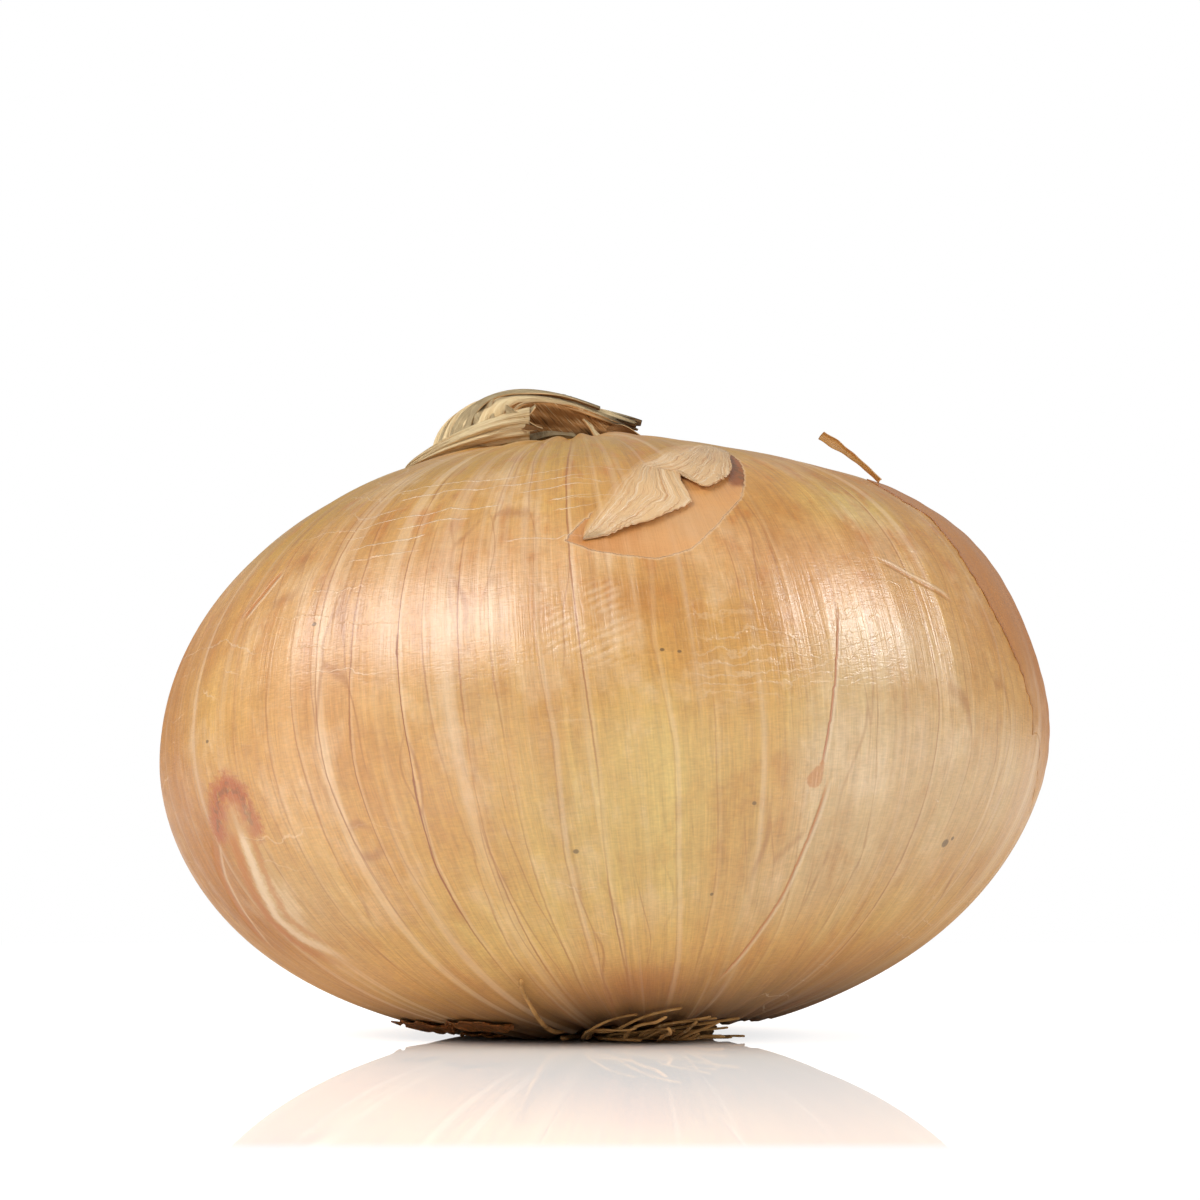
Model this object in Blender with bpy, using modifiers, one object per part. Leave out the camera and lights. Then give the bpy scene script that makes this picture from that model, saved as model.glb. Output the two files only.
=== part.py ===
"""A whole bulb onion lying on its root end, with its dried neck, torn skin and roots.

World frame: the floor is z = 0, +Z is up, and the origin is on the floor under the middle of the
bulb. Lengths below are millimetres and angles are degrees; MM turns them into metres.
"""
import math

import bmesh
import bpy
import numpy as np
from mathutils import Vector

MM = 0.001
GAP = 0.3                      # clearance between touching pieces

# The bulb before it is tilted: a turned form about its own axis, slightly out of round.
GIRTH_RADIUS = 47.87           # at its widest
LOWER_HEIGHT = 32.87           # from the widest ring down to the root pole
UPPER_HEIGHT = 31.67           # and up to the neck pole
GIRTH_POWER = 0.8865           # below 1 the shoulders are fuller than an ellipse
LOWER_POWER = 1.062
UPPER_POWER = 1.02
OVAL, OVAL_TURN = 0.0088, 5.0          # two-lobed waviness of the girth, and where it is widest
SKEW, SKEW_TURN = 0.032, -48.5         # the upper half leans one way, the lower half the other
EGG = -1.62                            # the widest ring is lower on the right than on the left
# Broad swellings (+) and flats (-): height, angle from the neck pole, width of that band, longitude.
SWELLINGS = ((-1.87, 78.2, 21.8, 0.0), (-1.69, 23.0, 21.8, 0.0), (0.6, 126.0, 28.6, 180.0))
ROLL, PITCH = 6.5, 2.5         # lean of the neck to the left and to the back
FLAT_DEPTH = 0.686             # how much the weight has flattened the lowest point
FLOOR_CUTTER = 80.0            # side of the cube whose top is the floor
CUTTER_MARGIN = 1.0            # how far the hollow's cutter reaches below the floor
BULB_SEGMENTS, BULB_RINGS = 72, 36

# The corky root plate in its hollow under the bulb.
PLATE_RADIUS, PLATE_HEIGHT = 7.2, 2.0
HOLLOW_SHIFT = (1.5, -2.5)     # the hollow opens towards the front right of the plate
HOLLOW_RIM, HOLLOW_ROOF, HOLLOW_HEIGHT = 13.5, 11.0, 2.4

# Dry roots, fanned out from the front of the plate.
ROOT_COUNT = 24
ROOT_RADIUS = 0.26
ROOT_POINTS = 9
ROOT_FAN = (-122.0, -16.0)     # longitudes of the first and last root at the plate
ROOT_LEVELS = 3                # the roots lie over one another in this many levels
LEVEL_STEP = 0.62

# The dried neck, in millimetres from the neck pole (x to the right, y to the back).
STUMP_RADIUS, STUMP_TOP_RADIUS, STUMP_HEIGHT = 5.2, 4.4, 2.0
ROOF_RIGHT, ROOF_LEFT = 6.4, -9.2
ROOF_MIDDLE, ROOF_HALF_DEPTH = 1.6, 8.4
ROOF_HEIGHT = 5.2
SHEATH_THICKNESS = 0.5
TAIL_RADII = (2.5, 2.6, 2.2, 1.5, 0.6)
TAIL_PATH = ((-10.6, 2.2, 4.0), (-12.6, 2.0, 3.8), (-14.9, 1.6, 3.2), (-17.0, 1.1, 2.4), (-18.9, 0.6, 1.6))
STRIP_RADIUS = 0.4
STRIP_PATHS = (((-8.6, -4.3, 2.9), (-7.2, -5.6, 2.3), (-5.6, -6.6, 1.5), (-4.0, -7.4, 1.0)),
               ((-9.3, -6.2, 2.2), (-7.6, -7.2, 1.6), (-6.0, -8.1, 1.1), (-4.6, -9.0, 0.9)))

# Pieces of torn outer skin.
SKIN_THICKNESS = 0.3
FLAP_LONGITUDES = (-91.0, -60.0)
FLAP_TOP = 37.0
SLIVER_WIDTH = 1.1
SLIVER_TIP = (22.7, -14.6, 62.7)
# Scraps at the foot: longitude and polar angle of the middle, half length, half width.
SCRAPS = ((-163.0, 153.5, 11.0, 2.6), (-139.0, 155.5, 8.0, 2.2), (-152.0, 160.0, 5.0, 1.5))

COLORS = {
    "bulb": (0.62, 0.36, 0.13), "root_plate": (0.16, 0.09, 0.04), "root": (0.20, 0.11, 0.05),
    "neck": (0.55, 0.36, 0.16), "skin": (0.66, 0.40, 0.17), "scrap": (0.42, 0.20, 0.07)}
ROUGHNESS = {"bulb": 0.38, "root_plate": 0.9, "root": 0.85, "neck": 0.8, "skin": 0.5, "scrap": 0.7}


# ---------------------------------------------------------------- the bulb's surface

def upright_bulb(polar, longitude):
    """Surface of the bulb before it is tilted: girth by a power of the sine, height by the cosine."""
    sine, cosine = np.abs(np.sin(polar)), np.cos(polar)
    girth = GIRTH_RADIUS * sine ** GIRTH_POWER
    girth = girth * (1 + OVAL * np.cos(2 * (longitude - math.radians(OVAL_TURN)))
                     + SKEW * np.sin(2 * polar) * np.cos(longitude - math.radians(SKEW_TURN)))
    height = np.where(cosine < 0, -LOWER_HEIGHT * np.abs(cosine) ** LOWER_POWER,
                      UPPER_HEIGHT * np.abs(cosine) ** UPPER_POWER)
    height = height + EGG * np.cos(longitude) * sine
    point = np.stack([girth * np.cos(longitude), girth * np.sin(longitude), height], axis=-1)
    outward = np.stack([np.sin(polar) * np.cos(longitude), np.sin(polar) * np.sin(longitude),
                        np.cos(polar)], axis=-1)
    for rise, centre, width, place in SWELLINGS:
        band = np.exp(-((np.degrees(polar) - centre) / width) ** 2)
        side = ((1 + np.cos(longitude - math.radians(place))) / 2) ** 1.5
        point = point + outward * (rise * band * side)[..., None]
    return point


def tilted(point):
    """Turn a point of the upright bulb so that the neck leans to the left and to the back."""
    roll, pitch = math.radians(ROLL), math.radians(PITCH)
    about_x = np.array([[1, 0, 0], [0, math.cos(pitch), math.sin(pitch)],
                        [0, -math.sin(pitch), math.cos(pitch)]])
    about_y = np.array([[math.cos(roll), 0, -math.sin(roll)], [0, 1, 0],
                        [math.sin(roll), 0, math.cos(roll)]])
    return point @ (about_y @ about_x).T


def resting_offset():
    """Shift that centres the tilted bulb over the origin and sets its flattened spot on the floor."""
    polar, longitude = np.meshgrid(np.linspace(0.0, math.pi, 181),
                                   np.linspace(-math.pi, math.pi, 361), indexing="ij")
    surface = tilted(upright_bulb(polar, longitude)).reshape(-1, 3)
    low, high = surface.min(axis=0), surface.max(axis=0)
    return np.array([-(low[0] + high[0]) / 2, -(low[1] + high[1]) / 2, -low[2] - FLAT_DEPTH])


OFFSET = resting_offset()


def on_bulb(polar, longitude, lift=0.0):
    """Point of the resting bulb's surface, raised along its outward normal. Angles in degrees."""
    polar, longitude = np.broadcast_arrays(np.radians(polar), np.radians(longitude))
    step = 1e-4
    point = tilted(upright_bulb(polar, longitude)) + OFFSET
    down = tilted(upright_bulb(polar + step, longitude) - upright_bulb(polar - step, longitude))
    around = tilted(upright_bulb(polar, longitude + step) - upright_bulb(polar, longitude - step))
    normal = np.cross(down, around)
    normal = normal / np.linalg.norm(normal, axis=-1, keepdims=True)
    return point + normal * np.asarray(lift)[..., None]


def over_crown(right, back, lift):
    """Point above the crown, from its offsets to the right and back of the neck pole."""
    reach = np.hypot(right, back)
    polar = np.degrees(np.arcsin((reach / GIRTH_RADIUS) ** (1 / GIRTH_POWER)))
    longitude = np.degrees(np.arctan2(back, right))
    point = on_bulb(np.maximum(polar, 0.05), longitude)
    return point + np.array([0.0, 0.0, 1.0]) * np.asarray(lift)[..., None]


# ---------------------------------------------------------------- Blender helpers

def clear_scene():
    for thing in list(bpy.data.objects):
        bpy.data.objects.remove(thing, do_unlink=True)


def new_collection(name):
    collection = bpy.data.collections.new(name)
    bpy.context.scene.collection.children.link(collection)
    return collection


def give_material(thing, kind):
    """The object's own Principled material, coloured by its kind."""
    material = bpy.data.materials.new(thing.name)
    material.use_nodes = True
    shader = material.node_tree.nodes["Principled BSDF"]
    shader.inputs["Base Color"].default_value = (*COLORS[kind], 1.0)
    shader.inputs["Roughness"].default_value = ROUGHNESS[kind]
    shader.inputs["Metallic"].default_value = 0.0
    thing.data.materials.append(material)


def mesh_object(name, form, collection):
    """A new object from a bmesh whose coordinates are in millimetres."""
    bmesh.ops.scale(form, vec=(MM, MM, MM), verts=form.verts)
    bmesh.ops.recalc_face_normals(form, faces=form.faces)
    mesh = bpy.data.meshes.new(name)
    form.to_mesh(mesh)
    form.free()
    mesh.shade_smooth()
    thing = bpy.data.objects.new(name, mesh)
    collection.objects.link(thing)
    return thing


def faces_inwards(mesh):
    """Whether a sheet's faces look, on the whole, towards the middle of the bulb."""
    middle = Vector(OFFSET * MM)
    return sum(face.normal.dot(face.center - middle) * face.area for face in mesh.polygons) < 0


def sheet(name, surface, columns, rows, thickness, collection):
    """A thin sheet: surface(u, v) for u and v from 0 to 1 on a grid, thickened outwards."""
    form = bmesh.new()
    bmesh.ops.create_grid(form, x_segments=columns, y_segments=rows, size=0.5)
    place = np.array([vertex.co[:2] for vertex in form.verts]) + 0.5
    for vertex, point in zip(form.verts, surface(place[:, 0], place[:, 1])):
        vertex.co = point
    thing = mesh_object(name, form, collection)
    if faces_inwards(thing.data):
        thing.data.flip_normals()
    wall = thing.modifiers.new("Wall", "SOLIDIFY")
    wall.thickness = thickness * MM
    wall.offset = 1.0
    return thing


def tube(name, path, radii, collection, resolution=2):
    """A filled tube along a path of points, with a radius at each."""
    curve = bpy.data.curves.new(name, "CURVE")
    curve.dimensions = "3D"
    curve.bevel_depth = MM
    curve.bevel_resolution = resolution
    curve.use_fill_caps = True
    spline = curve.splines.new("POLY")
    spline.points.add(len(path) - 1)
    for point, place, radius in zip(spline.points, path, radii):
        point.co = (*(np.asarray(place) * MM), 1.0)
        point.radius = radius
    thing = bpy.data.objects.new(name, curve)
    collection.objects.link(thing)
    return thing


def adopt_primitive(name, collection):
    """Name the primitive that was just added, and move it into its collection."""
    thing = bpy.context.active_object
    thing.name = thing.data.name = name
    for owner in list(thing.users_collection):
        owner.objects.unlink(thing)
    collection.objects.link(thing)
    return thing


def adopt_cutter(name, cutters):
    cutter = adopt_primitive(name, cutters)
    cutter.hide_render = True
    cutter.display_type = "WIRE"
    return cutter


def cut(thing, cutter):
    boolean = thing.modifiers.new(cutter.name, "BOOLEAN")
    boolean.operation = "DIFFERENCE"
    boolean.solver = "EXACT"
    boolean.object = cutter


# ---------------------------------------------------------------- the pieces

def root_pole():
    """Place of the root pole on the floor."""
    return on_bulb(179.99, 0.0)[:2]


def make_bulb(collection, cutters):
    """A UV sphere carried onto the bulb's surface, cut flat at the floor and hollowed at the roots."""
    form = bmesh.new()
    bmesh.ops.create_uvsphere(form, u_segments=BULB_SEGMENTS, v_segments=BULB_RINGS, radius=1.0)
    ball = np.array([vertex.co[:] for vertex in form.verts])
    polar = np.degrees(np.arccos(np.clip(ball[:, 2], -1, 1)))
    longitude = np.degrees(np.arctan2(ball[:, 1], ball[:, 0]))
    for vertex, point in zip(form.verts, on_bulb(np.clip(polar, 0.02, 179.98), longitude)):
        vertex.co = point
    bulb = mesh_object("bulb", form, collection)

    bpy.ops.mesh.primitive_cube_add(size=FLOOR_CUTTER * MM, location=(0, 0, -FLOOR_CUTTER / 2 * MM))
    floor = adopt_cutter("floor_cutter", cutters)

    across, back = root_pole() + np.array(HOLLOW_SHIFT)
    slope = (HOLLOW_RIM - HOLLOW_ROOF) / HOLLOW_HEIGHT
    bpy.ops.mesh.primitive_cone_add(
        vertices=48, radius1=(HOLLOW_RIM + slope * CUTTER_MARGIN) * MM, radius2=HOLLOW_ROOF * MM,
        depth=(HOLLOW_HEIGHT + CUTTER_MARGIN) * MM,
        location=(across * MM, back * MM, (HOLLOW_HEIGHT - CUTTER_MARGIN) / 2 * MM))
    hollow = adopt_cutter("hollow_cutter", cutters)

    cut(bulb, floor)
    cut(bulb, hollow)
    give_material(bulb, "bulb")


def make_root_plate(collection):
    """A corky disc, rounded at its upper edge and flat underneath."""
    centre = root_pole()
    bpy.ops.mesh.primitive_cylinder_add(
        vertices=40, radius=PLATE_RADIUS * MM, depth=PLATE_HEIGHT * MM,
        location=(centre[0] * MM, centre[1] * MM, PLATE_HEIGHT / 2 * MM))
    plate = adopt_primitive("root_plate", collection)
    plate.data.shade_smooth()
    plate.data.set_sharp_from_angle(angle=math.radians(35))
    rounding = plate.modifiers.new("Rounding", "BEVEL")
    rounding.width = 0.35 * MM
    rounding.segments = 2
    give_material(plate, "root_plate")


def root_path(index):
    """Path of one root: out from the plate under the bulb, then up along its lower front."""
    share = index / (ROOT_COUNT - 1)
    level = index % ROOT_LEVELS
    along = np.linspace(0.0, 1.0, ROOT_POINTS)
    tip = 157.0 - 5.0 * math.sin(2.4 * index) - 4.0 * math.sin(math.pi * share)
    polar = 172.4 + (tip - 172.4) * along
    sway = (8.0 * math.sin(1.7 * index + 0.9) + 12.0 * math.sqrt(share)) * math.sqrt(share)
    longitude = ROOT_FAN[0] + (ROOT_FAN[1] - ROOT_FAN[0]) * share + sway * along ** 2
    drop = GAP + ROOT_RADIUS + LEVEL_STEP * level
    path = on_bulb(polar, longitude, drop + 0.25 * along ** 2)
    ceiling = HOLLOW_HEIGHT - GAP - ROOT_RADIUS - LEVEL_STEP * level
    inside = np.clip(1.0 - along * 3.0, 0.0, 1.0)
    path[:, 2] = path[:, 2] * (1 - inside) + ceiling * inside
    path[:, 2] = np.maximum(path[:, 2], ROOT_RADIUS + 0.08)
    return path


def make_roots(collection):
    for index in range(ROOT_COUNT):
        path = root_path(index)
        radii = ROOT_RADIUS * np.linspace(1.0, 0.62, ROOT_POINTS)
        root = tube(f"root_{index + 1:02d}", path, radii, collection, resolution=1)
        give_material(root, "root")


def roof_surface(u, v):
    """The neck's outer sheath: it rises behind the mouth and bends over it to the front."""
    right = ROOF_RIGHT + (ROOF_LEFT - ROOF_RIGHT) * u
    turn = np.radians(3.0 + 142.0 * v)
    height = ROOF_HEIGHT * (0.42 + 0.58 * np.sin(np.pi * (0.14 + 0.62 * u)))
    depth = ROOF_HALF_DEPTH * (0.55 + 0.45 * np.sin(np.pi * (0.12 + 0.66 * u)))
    lift = 2 * GAP + height * np.sin(turn) ** 0.8
    return over_crown(right, ROOF_MIDDLE + depth * np.cos(turn), lift)


def make_neck(collection):
    """Stump, bent-over sheath, gathered tail on the left and two torn strips across the mouth."""
    top = on_bulb(0.05, 0.0)
    bpy.ops.mesh.primitive_cone_add(
        vertices=32, radius1=STUMP_RADIUS * MM, radius2=STUMP_TOP_RADIUS * MM,
        depth=STUMP_HEIGHT * MM,
        location=(top[0] * MM, top[1] * MM, (top[2] + 2 * GAP + STUMP_HEIGHT / 2) * MM))
    stump = adopt_primitive("neck_stump", collection)
    stump.data.shade_smooth()
    stump.data.set_sharp_from_angle(angle=math.radians(35))
    give_material(stump, "neck")

    roof = sheet("neck_roof", roof_surface, 16, 12, SHEATH_THICKNESS, collection)
    give_material(roof, "neck")

    tail_path = [over_crown(*place) for place in TAIL_PATH]
    tail = tube("neck_tail", tail_path, TAIL_RADII, collection, resolution=3)
    give_material(tail, "neck")

    for number, places in enumerate(STRIP_PATHS, start=1):
        path = [over_crown(*place) for place in places]
        strip = tube(f"neck_strip_{number}", path, [STRIP_RADIUS] * len(path), collection)
        give_material(strip, "neck")


def flap_surface(u, v):
    """Outer skin on the upper right, its lower edge torn, notched and lifted off the bulb."""
    longitude = FLAP_LONGITUDES[0] + (FLAP_LONGITUDES[1] - FLAP_LONGITUDES[0]) * u
    edge = 61.0 - 18.0 * u ** 1.6 - 4.5 * np.exp(-((u - 0.66) / 0.07) ** 2)
    edge = edge + 0.5 * np.sin(40.0 * u)
    polar = FLAP_TOP + (edge - FLAP_TOP) * v
    return on_bulb(polar, longitude, GAP + 0.9 * v ** 3 * np.sin(np.pi * u))


def sliver_surface(u, v):
    """A narrow curl of skin that stands up off the right shoulder."""
    foot, tip = on_bulb(41.8, -27.0, GAP + 0.15), np.array(SLIVER_TIP)
    across = np.array([0.35, -0.75, -0.2]) * SLIVER_WIDTH
    spread = (v - 0.5) * (0.45 + 0.55 * u)
    bow = 0.5 * np.sin(np.pi * u)
    path = foot + (tip - foot) * u[:, None] + np.array([0.5, 0.0, 0.8]) * bow[:, None]
    return path + across * spread[:, None]


def scrap_surface(number):
    """A pointed flake of dry skin under the bulb, between it and the floor."""
    longitude, polar, half_length, half_width = SCRAPS[number]

    def surface(u, v):
        along, side = 2 * u - 1, 2 * v - 1
        taper = np.sqrt(1.0 - 0.97 * along ** 2)
        flake = on_bulb(polar + half_width * side * taper + 1.5 * along,
                        longitude + half_length * along, GAP + 0.15)
        flake[:, 2] = np.maximum(flake[:, 2], SKIN_THICKNESS + 0.1)
        return flake

    return surface


def make_skin_pieces(collection):
    flap = sheet("skin_flap", flap_surface, 24, 10, SKIN_THICKNESS, collection)
    give_material(flap, "skin")
    sliver = sheet("skin_sliver", sliver_surface, 8, 3, SKIN_THICKNESS, collection)
    give_material(sliver, "skin")
    for number in range(len(SCRAPS)):
        scrap = sheet(f"base_scrap_{number + 1}", scrap_surface(number), 12, 4, SKIN_THICKNESS,
                      collection)
        give_material(scrap, "scrap")


def main():
    clear_scene()
    onion = new_collection("onion")
    cutters = new_collection("cutters")
    make_bulb(onion, cutters)
    make_root_plate(onion)
    make_roots(onion)
    make_neck(onion)
    make_skin_pieces(onion)


main()
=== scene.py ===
import math

import bpy
import numpy as np
from bpy.props import FloatProperty, FloatVectorProperty, IntProperty, PointerProperty
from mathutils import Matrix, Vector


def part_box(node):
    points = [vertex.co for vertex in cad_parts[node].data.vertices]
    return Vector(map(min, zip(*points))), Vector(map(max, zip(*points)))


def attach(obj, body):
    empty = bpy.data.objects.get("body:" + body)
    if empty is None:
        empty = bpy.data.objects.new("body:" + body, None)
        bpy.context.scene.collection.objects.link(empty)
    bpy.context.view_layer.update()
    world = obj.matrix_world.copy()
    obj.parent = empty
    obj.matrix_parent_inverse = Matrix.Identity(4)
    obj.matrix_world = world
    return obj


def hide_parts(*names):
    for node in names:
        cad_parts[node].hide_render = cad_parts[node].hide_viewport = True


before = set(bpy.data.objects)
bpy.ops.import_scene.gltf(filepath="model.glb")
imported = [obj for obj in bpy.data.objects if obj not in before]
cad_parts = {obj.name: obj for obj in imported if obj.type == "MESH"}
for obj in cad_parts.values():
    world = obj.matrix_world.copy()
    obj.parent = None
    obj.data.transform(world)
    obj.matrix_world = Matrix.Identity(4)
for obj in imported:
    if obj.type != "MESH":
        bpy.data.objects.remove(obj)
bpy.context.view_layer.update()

bl_info = {
    "name": "Onion looks",
    "version": (1, 0, 0),
    "blender": (4, 5, 0),
    "location": "3D View > Sidebar > Onion",
    "description": "Builds the visible surfaces, materials, stage and light of a bulb onion",
    "category": "Add Mesh",
}

MM = 0.001


# ---------------------------------------------------------------- settings

def linear(red, green, blue):
    """Scene-linear colour of an ordinary 0 to 255 display colour."""
    return tuple(((v / 255 + 0.055) / 1.055) ** 2.4 if v > 10 else v / 255 / 12.92
                 for v in (red, green, blue))


def length(name, description, millimetres):
    return FloatProperty(name=name, description=description, default=millimetres * MM, unit="LENGTH")


def number(name, description, value):
    return FloatProperty(name=name, description=description, default=value)


def turn(name, description, degrees):
    return FloatProperty(name=name, description=description, default=math.radians(degrees),
                         subtype="ANGLE")


def colour(name, description, *display):
    return FloatVectorProperty(name=name, description=description, default=linear(*display),
                               subtype="COLOR", size=3, min=0.0, max=1.0)


class OnionBulbSettings(bpy.types.PropertyGroup):
    """The bulb's form, the same as the solid it replaces."""
    girth: length("Girth radius", "Half width of the bulb at its widest", 47.87)
    lower: length("Lower height", "From the widest ring down to the root pole", 32.87)
    upper: length("Upper height", "From the widest ring up to the neck pole", 31.67)
    girth_power: number("Girth power", "Below 1 the shoulders are fuller than an ellipse", 0.8865)
    lower_power: number("Lower power", "Fullness of the underside", 1.062)
    upper_power: number("Upper power", "Fullness of the top", 1.02)
    oval: number("Oval", "Share by which the girth is out of round", 0.0088)
    skew: number("Skew", "Share by which the upper half leans against the lower", 0.032)
    egg: length("Egg", "How much lower the widest ring lies on the left", 1.62)
    roll: turn("Roll", "Lean of the neck to the left", 6.5)
    pitch: turn("Pitch", "Lean of the neck to the back", 2.5)
    flat: length("Flat depth", "How much the weight flattens the lowest point", 0.686)
    columns: IntProperty(name="Columns", description="Faces round the bulb", default=440, min=24)
    rows: IntProperty(name="Rows", description="Faces from neck to root", default=216, min=12)


class OnionSkinSettings(bpy.types.PropertyGroup):
    """Colours of the dry skin."""
    straw: colour("Straw", "Ground colour of the dry skin", 204, 152, 76)
    tan: colour("Tan", "Slightly browner ground", 198, 142, 66)
    # The blush patches in the upper front are partly the skin's pinkish colour and partly painted sheen.
    blush: colour("Blush", "Pinkish orange areas", 211, 158, 104)
    rosy: colour("Rosy", "Pale mauve-pink areas", 202, 168, 118)
    yellow: colour("Yellow", "Yellow-green areas where the skin is thin", 208, 172, 94)
    gold: colour("Gold", "Darker gold round the crown", 184, 134, 28)
    orange: colour("Orange", "Torn edges and stained streaks", 186, 106, 22)
    amber: colour("Amber", "Deeper orange-brown towards the sides", 178, 113, 28)
    # Brown also paints shade round the bulb's foot, besides its stains.
    brown: colour("Brown", "Stained skin round the foot", 104, 66, 4)
    vein: colour("Vein", "Fine reddish-brown veins", 150, 84, 30)
    pale: colour("Pale", "Pale bands and the raised edges of creases", 246, 220, 186)
    flap: colour("Flap", "Loose torn skin", 238, 196, 142)
    window: colour("Window", "Smooth inner skin seen where the outer is torn", 222, 160, 98)
    rust: colour("Rust", "Bruised skin", 176, 90, 20)
    speck: colour("Speck", "Small dark specks", 92, 66, 26)
    mauve: colour("Mauve", "Oldest skin left on the right shoulder", 178, 108, 34)


class OnionDrySettings(bpy.types.PropertyGroup):
    """Colours of the neck, the roots and the scraps."""
    sheath: colour("Sheath", "Outside of the dried neck", 236, 212, 166)
    sheath_dark: colour("Sheath folds", "Creases and shaded folds of the neck", 214, 176, 122)
    collar: colour("Collar", "Skin gathered round the neck's foot", 190, 144, 66)
    lining: colour("Lining", "Inside of the dried neck", 190, 134, 78)
    # Painted shade colour for the neck's mouth: it darkens the mouth's floor and the gap at the curtain's
    # foot. The same colour also darkens the torn ends of the hood, back wall, ribbons and strands, and the
    # lining's darkest fibre streaks.
    hollow: colour("Hollow", "Depth of the neck's mouth", 48, 28, 8)
    root: colour("Root", "Dry roots", 188, 144, 88)
    root_dark: colour("Root dark", "Dirt on the roots and the root plate", 84, 54, 22)
    scrap: colour("Scrap", "Brown dry flakes under the bulb", 156, 94, 44)
    root_radius: length("Root radius", "Half thickness of a root", 0.27)


class OnionStudioSettings(bpy.types.PropertyGroup):
    """Camera, floor and lights."""
    distance: length("Camera distance", "From the camera to the middle of the onion", 360.9)
    camera_side: length("Camera side", "Camera's offset to the left of the middle", 0.4)
    camera_height: length("Camera height", "Height of the lens above the floor", 16.0)
    aim_height: length("Aim height", "Height the camera aims at over the middle", 46.9)
    focal: FloatProperty(name="Focal length", description="Lens, in millimetres", default=100.0)
    world: number("Surroundings", "Strength of the surroundings overhead", 0.42)
    key: number("Key light", "Power of the large light on the left, in watts", 1.1)
    fill: number("Fill light", "Power of the light on the right, in watts", 1.6)
    top: number("Top light", "Power of the broad light in front, in watts", 3.4)
    matt: number("Matt share", "How white the floor is under its gloss", 0.47)
    gloss: number("Gloss", "Strength of the floor's mirror image", 1.0)


# ---------------------------------------------------------------- the bulb's surface

SWELLINGS = (            # rise, polar angle and width of the band, longitude
    (-1.87 * MM, 78.2, 21.8, 90.0),
    (-1.69 * MM, 23.0, 21.8, 90.0),
    (0.60 * MM, 126.0, 28.6, -90.0))
OVAL_TURN, SKEW_TURN = 95.0, 41.5
HOLLOW_SHIFT = (1.5 * MM, -2.5 * MM)
HOLLOW_RIM, HOLLOW_ROOF, HOLLOW_HEIGHT = 13.5 * MM, 11.0 * MM, 2.4 * MM


def direction(polar, longitude):
    """Unit vector at a polar angle and a longitude, before the bulb is tilted."""
    polar, longitude = np.radians(polar), np.radians(longitude)
    return np.stack([np.sin(polar) * np.sin(longitude), -np.sin(polar) * np.cos(longitude),
                     np.cos(polar)], axis=-1)


def upright_bulb(shape, polar, longitude):
    """Girth by a power of the sine of the polar angle, height by a power of its cosine, with a
    two-lobed oval, a skew between the halves, and broad swellings that fade off like a bell."""
    radians, turned = np.radians(polar), np.radians(longitude)
    sine, cosine = np.abs(np.sin(radians)), np.cos(radians)
    girth = shape.girth * sine ** shape.girth_power
    girth = girth * (1 + shape.oval * np.cos(2 * (turned - math.radians(OVAL_TURN)))
                     + shape.skew * np.sin(2 * radians) * np.cos(turned - math.radians(SKEW_TURN)))
    height = np.where(cosine < 0, -shape.lower * np.abs(cosine) ** shape.lower_power,
                      shape.upper * np.abs(cosine) ** shape.upper_power)
    height = height - shape.egg * np.sin(turned) * sine
    point = np.stack([girth * np.sin(turned), -girth * np.cos(turned), height], axis=-1)
    outward = direction(polar, longitude)
    for rise, centre, width, place in SWELLINGS:
        band = np.exp(-((polar - centre) / width) ** 2)
        side = ((1 + np.cos(turned - math.radians(place))) / 2) ** 1.5
        point = point + outward * (rise * band * side)[..., None]
    return point


def tilt(shape, point):
    """Lean the neck to the left by the roll and to the back by the pitch."""
    sr, cr, sp, cp = math.sin(shape.roll), math.cos(shape.roll), math.sin(shape.pitch), math.cos(shape.pitch)
    about_x = np.array([[1, 0, 0], [0, cp, sp], [0, -sp, cp]])
    about_y = np.array([[cr, 0, -sr], [0, 1, 0], [sr, 0, cr]])
    return point @ (about_y @ about_x).T


def resting_offset(shape):
    """Shift that centres the tilted bulb over the origin with its flattened spot on the floor."""
    polar, longitude = np.meshgrid(np.linspace(0, 180, 181), np.linspace(-180, 180, 361), indexing="ij")
    surface = tilt(shape, upright_bulb(shape, polar, longitude)).reshape(-1, 3)
    low, high = surface.min(axis=0), surface.max(axis=0)
    return np.array([-(low[0] + high[0]) / 2, -(low[1] + high[1]) / 2, -low[2] - shape.flat])


def bulb_normal(shape, polar, longitude):
    """Outward normal, from the surface's slopes along the two angles."""
    step = 0.01
    polar = np.clip(polar, 2 * step, 180 - 2 * step)
    down = upright_bulb(shape, polar + step, longitude) - upright_bulb(shape, polar - step, longitude)
    around = upright_bulb(shape, polar, longitude + step) - upright_bulb(shape, polar, longitude - step)
    normal = np.cross(tilt(shape, down), tilt(shape, around))
    return normal / np.linalg.norm(normal, axis=-1, keepdims=True)


def on_bulb(shape, polar, longitude, lift=0.0):
    """Point of the resting bulb, raised by lift along its outward normal."""
    polar, longitude, lift = np.broadcast_arrays(np.asarray(polar, float), longitude, lift)
    base = tilt(shape, upright_bulb(shape, polar, longitude)) + resting_offset(shape)
    return base + bulb_normal(shape, polar, longitude) * lift[..., None]


def over_crown(shape, right, back, lift):
    """Point above the crown, from its offsets to the right and to the back of the neck pole."""
    right, back, lift = np.broadcast_arrays(np.asarray(right, float), back, lift)
    reach = np.hypot(right, back)
    polar = np.degrees(np.arcsin(np.clip(reach / shape.girth, 0, 1) ** (1 / shape.girth_power)))
    longitude = np.degrees(np.arctan2(right, -back))
    point = on_bulb(shape, np.maximum(polar, 0.05), longitude)
    return point + np.array([0.0, 0.0, 1.0]) * lift[..., None]


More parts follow.
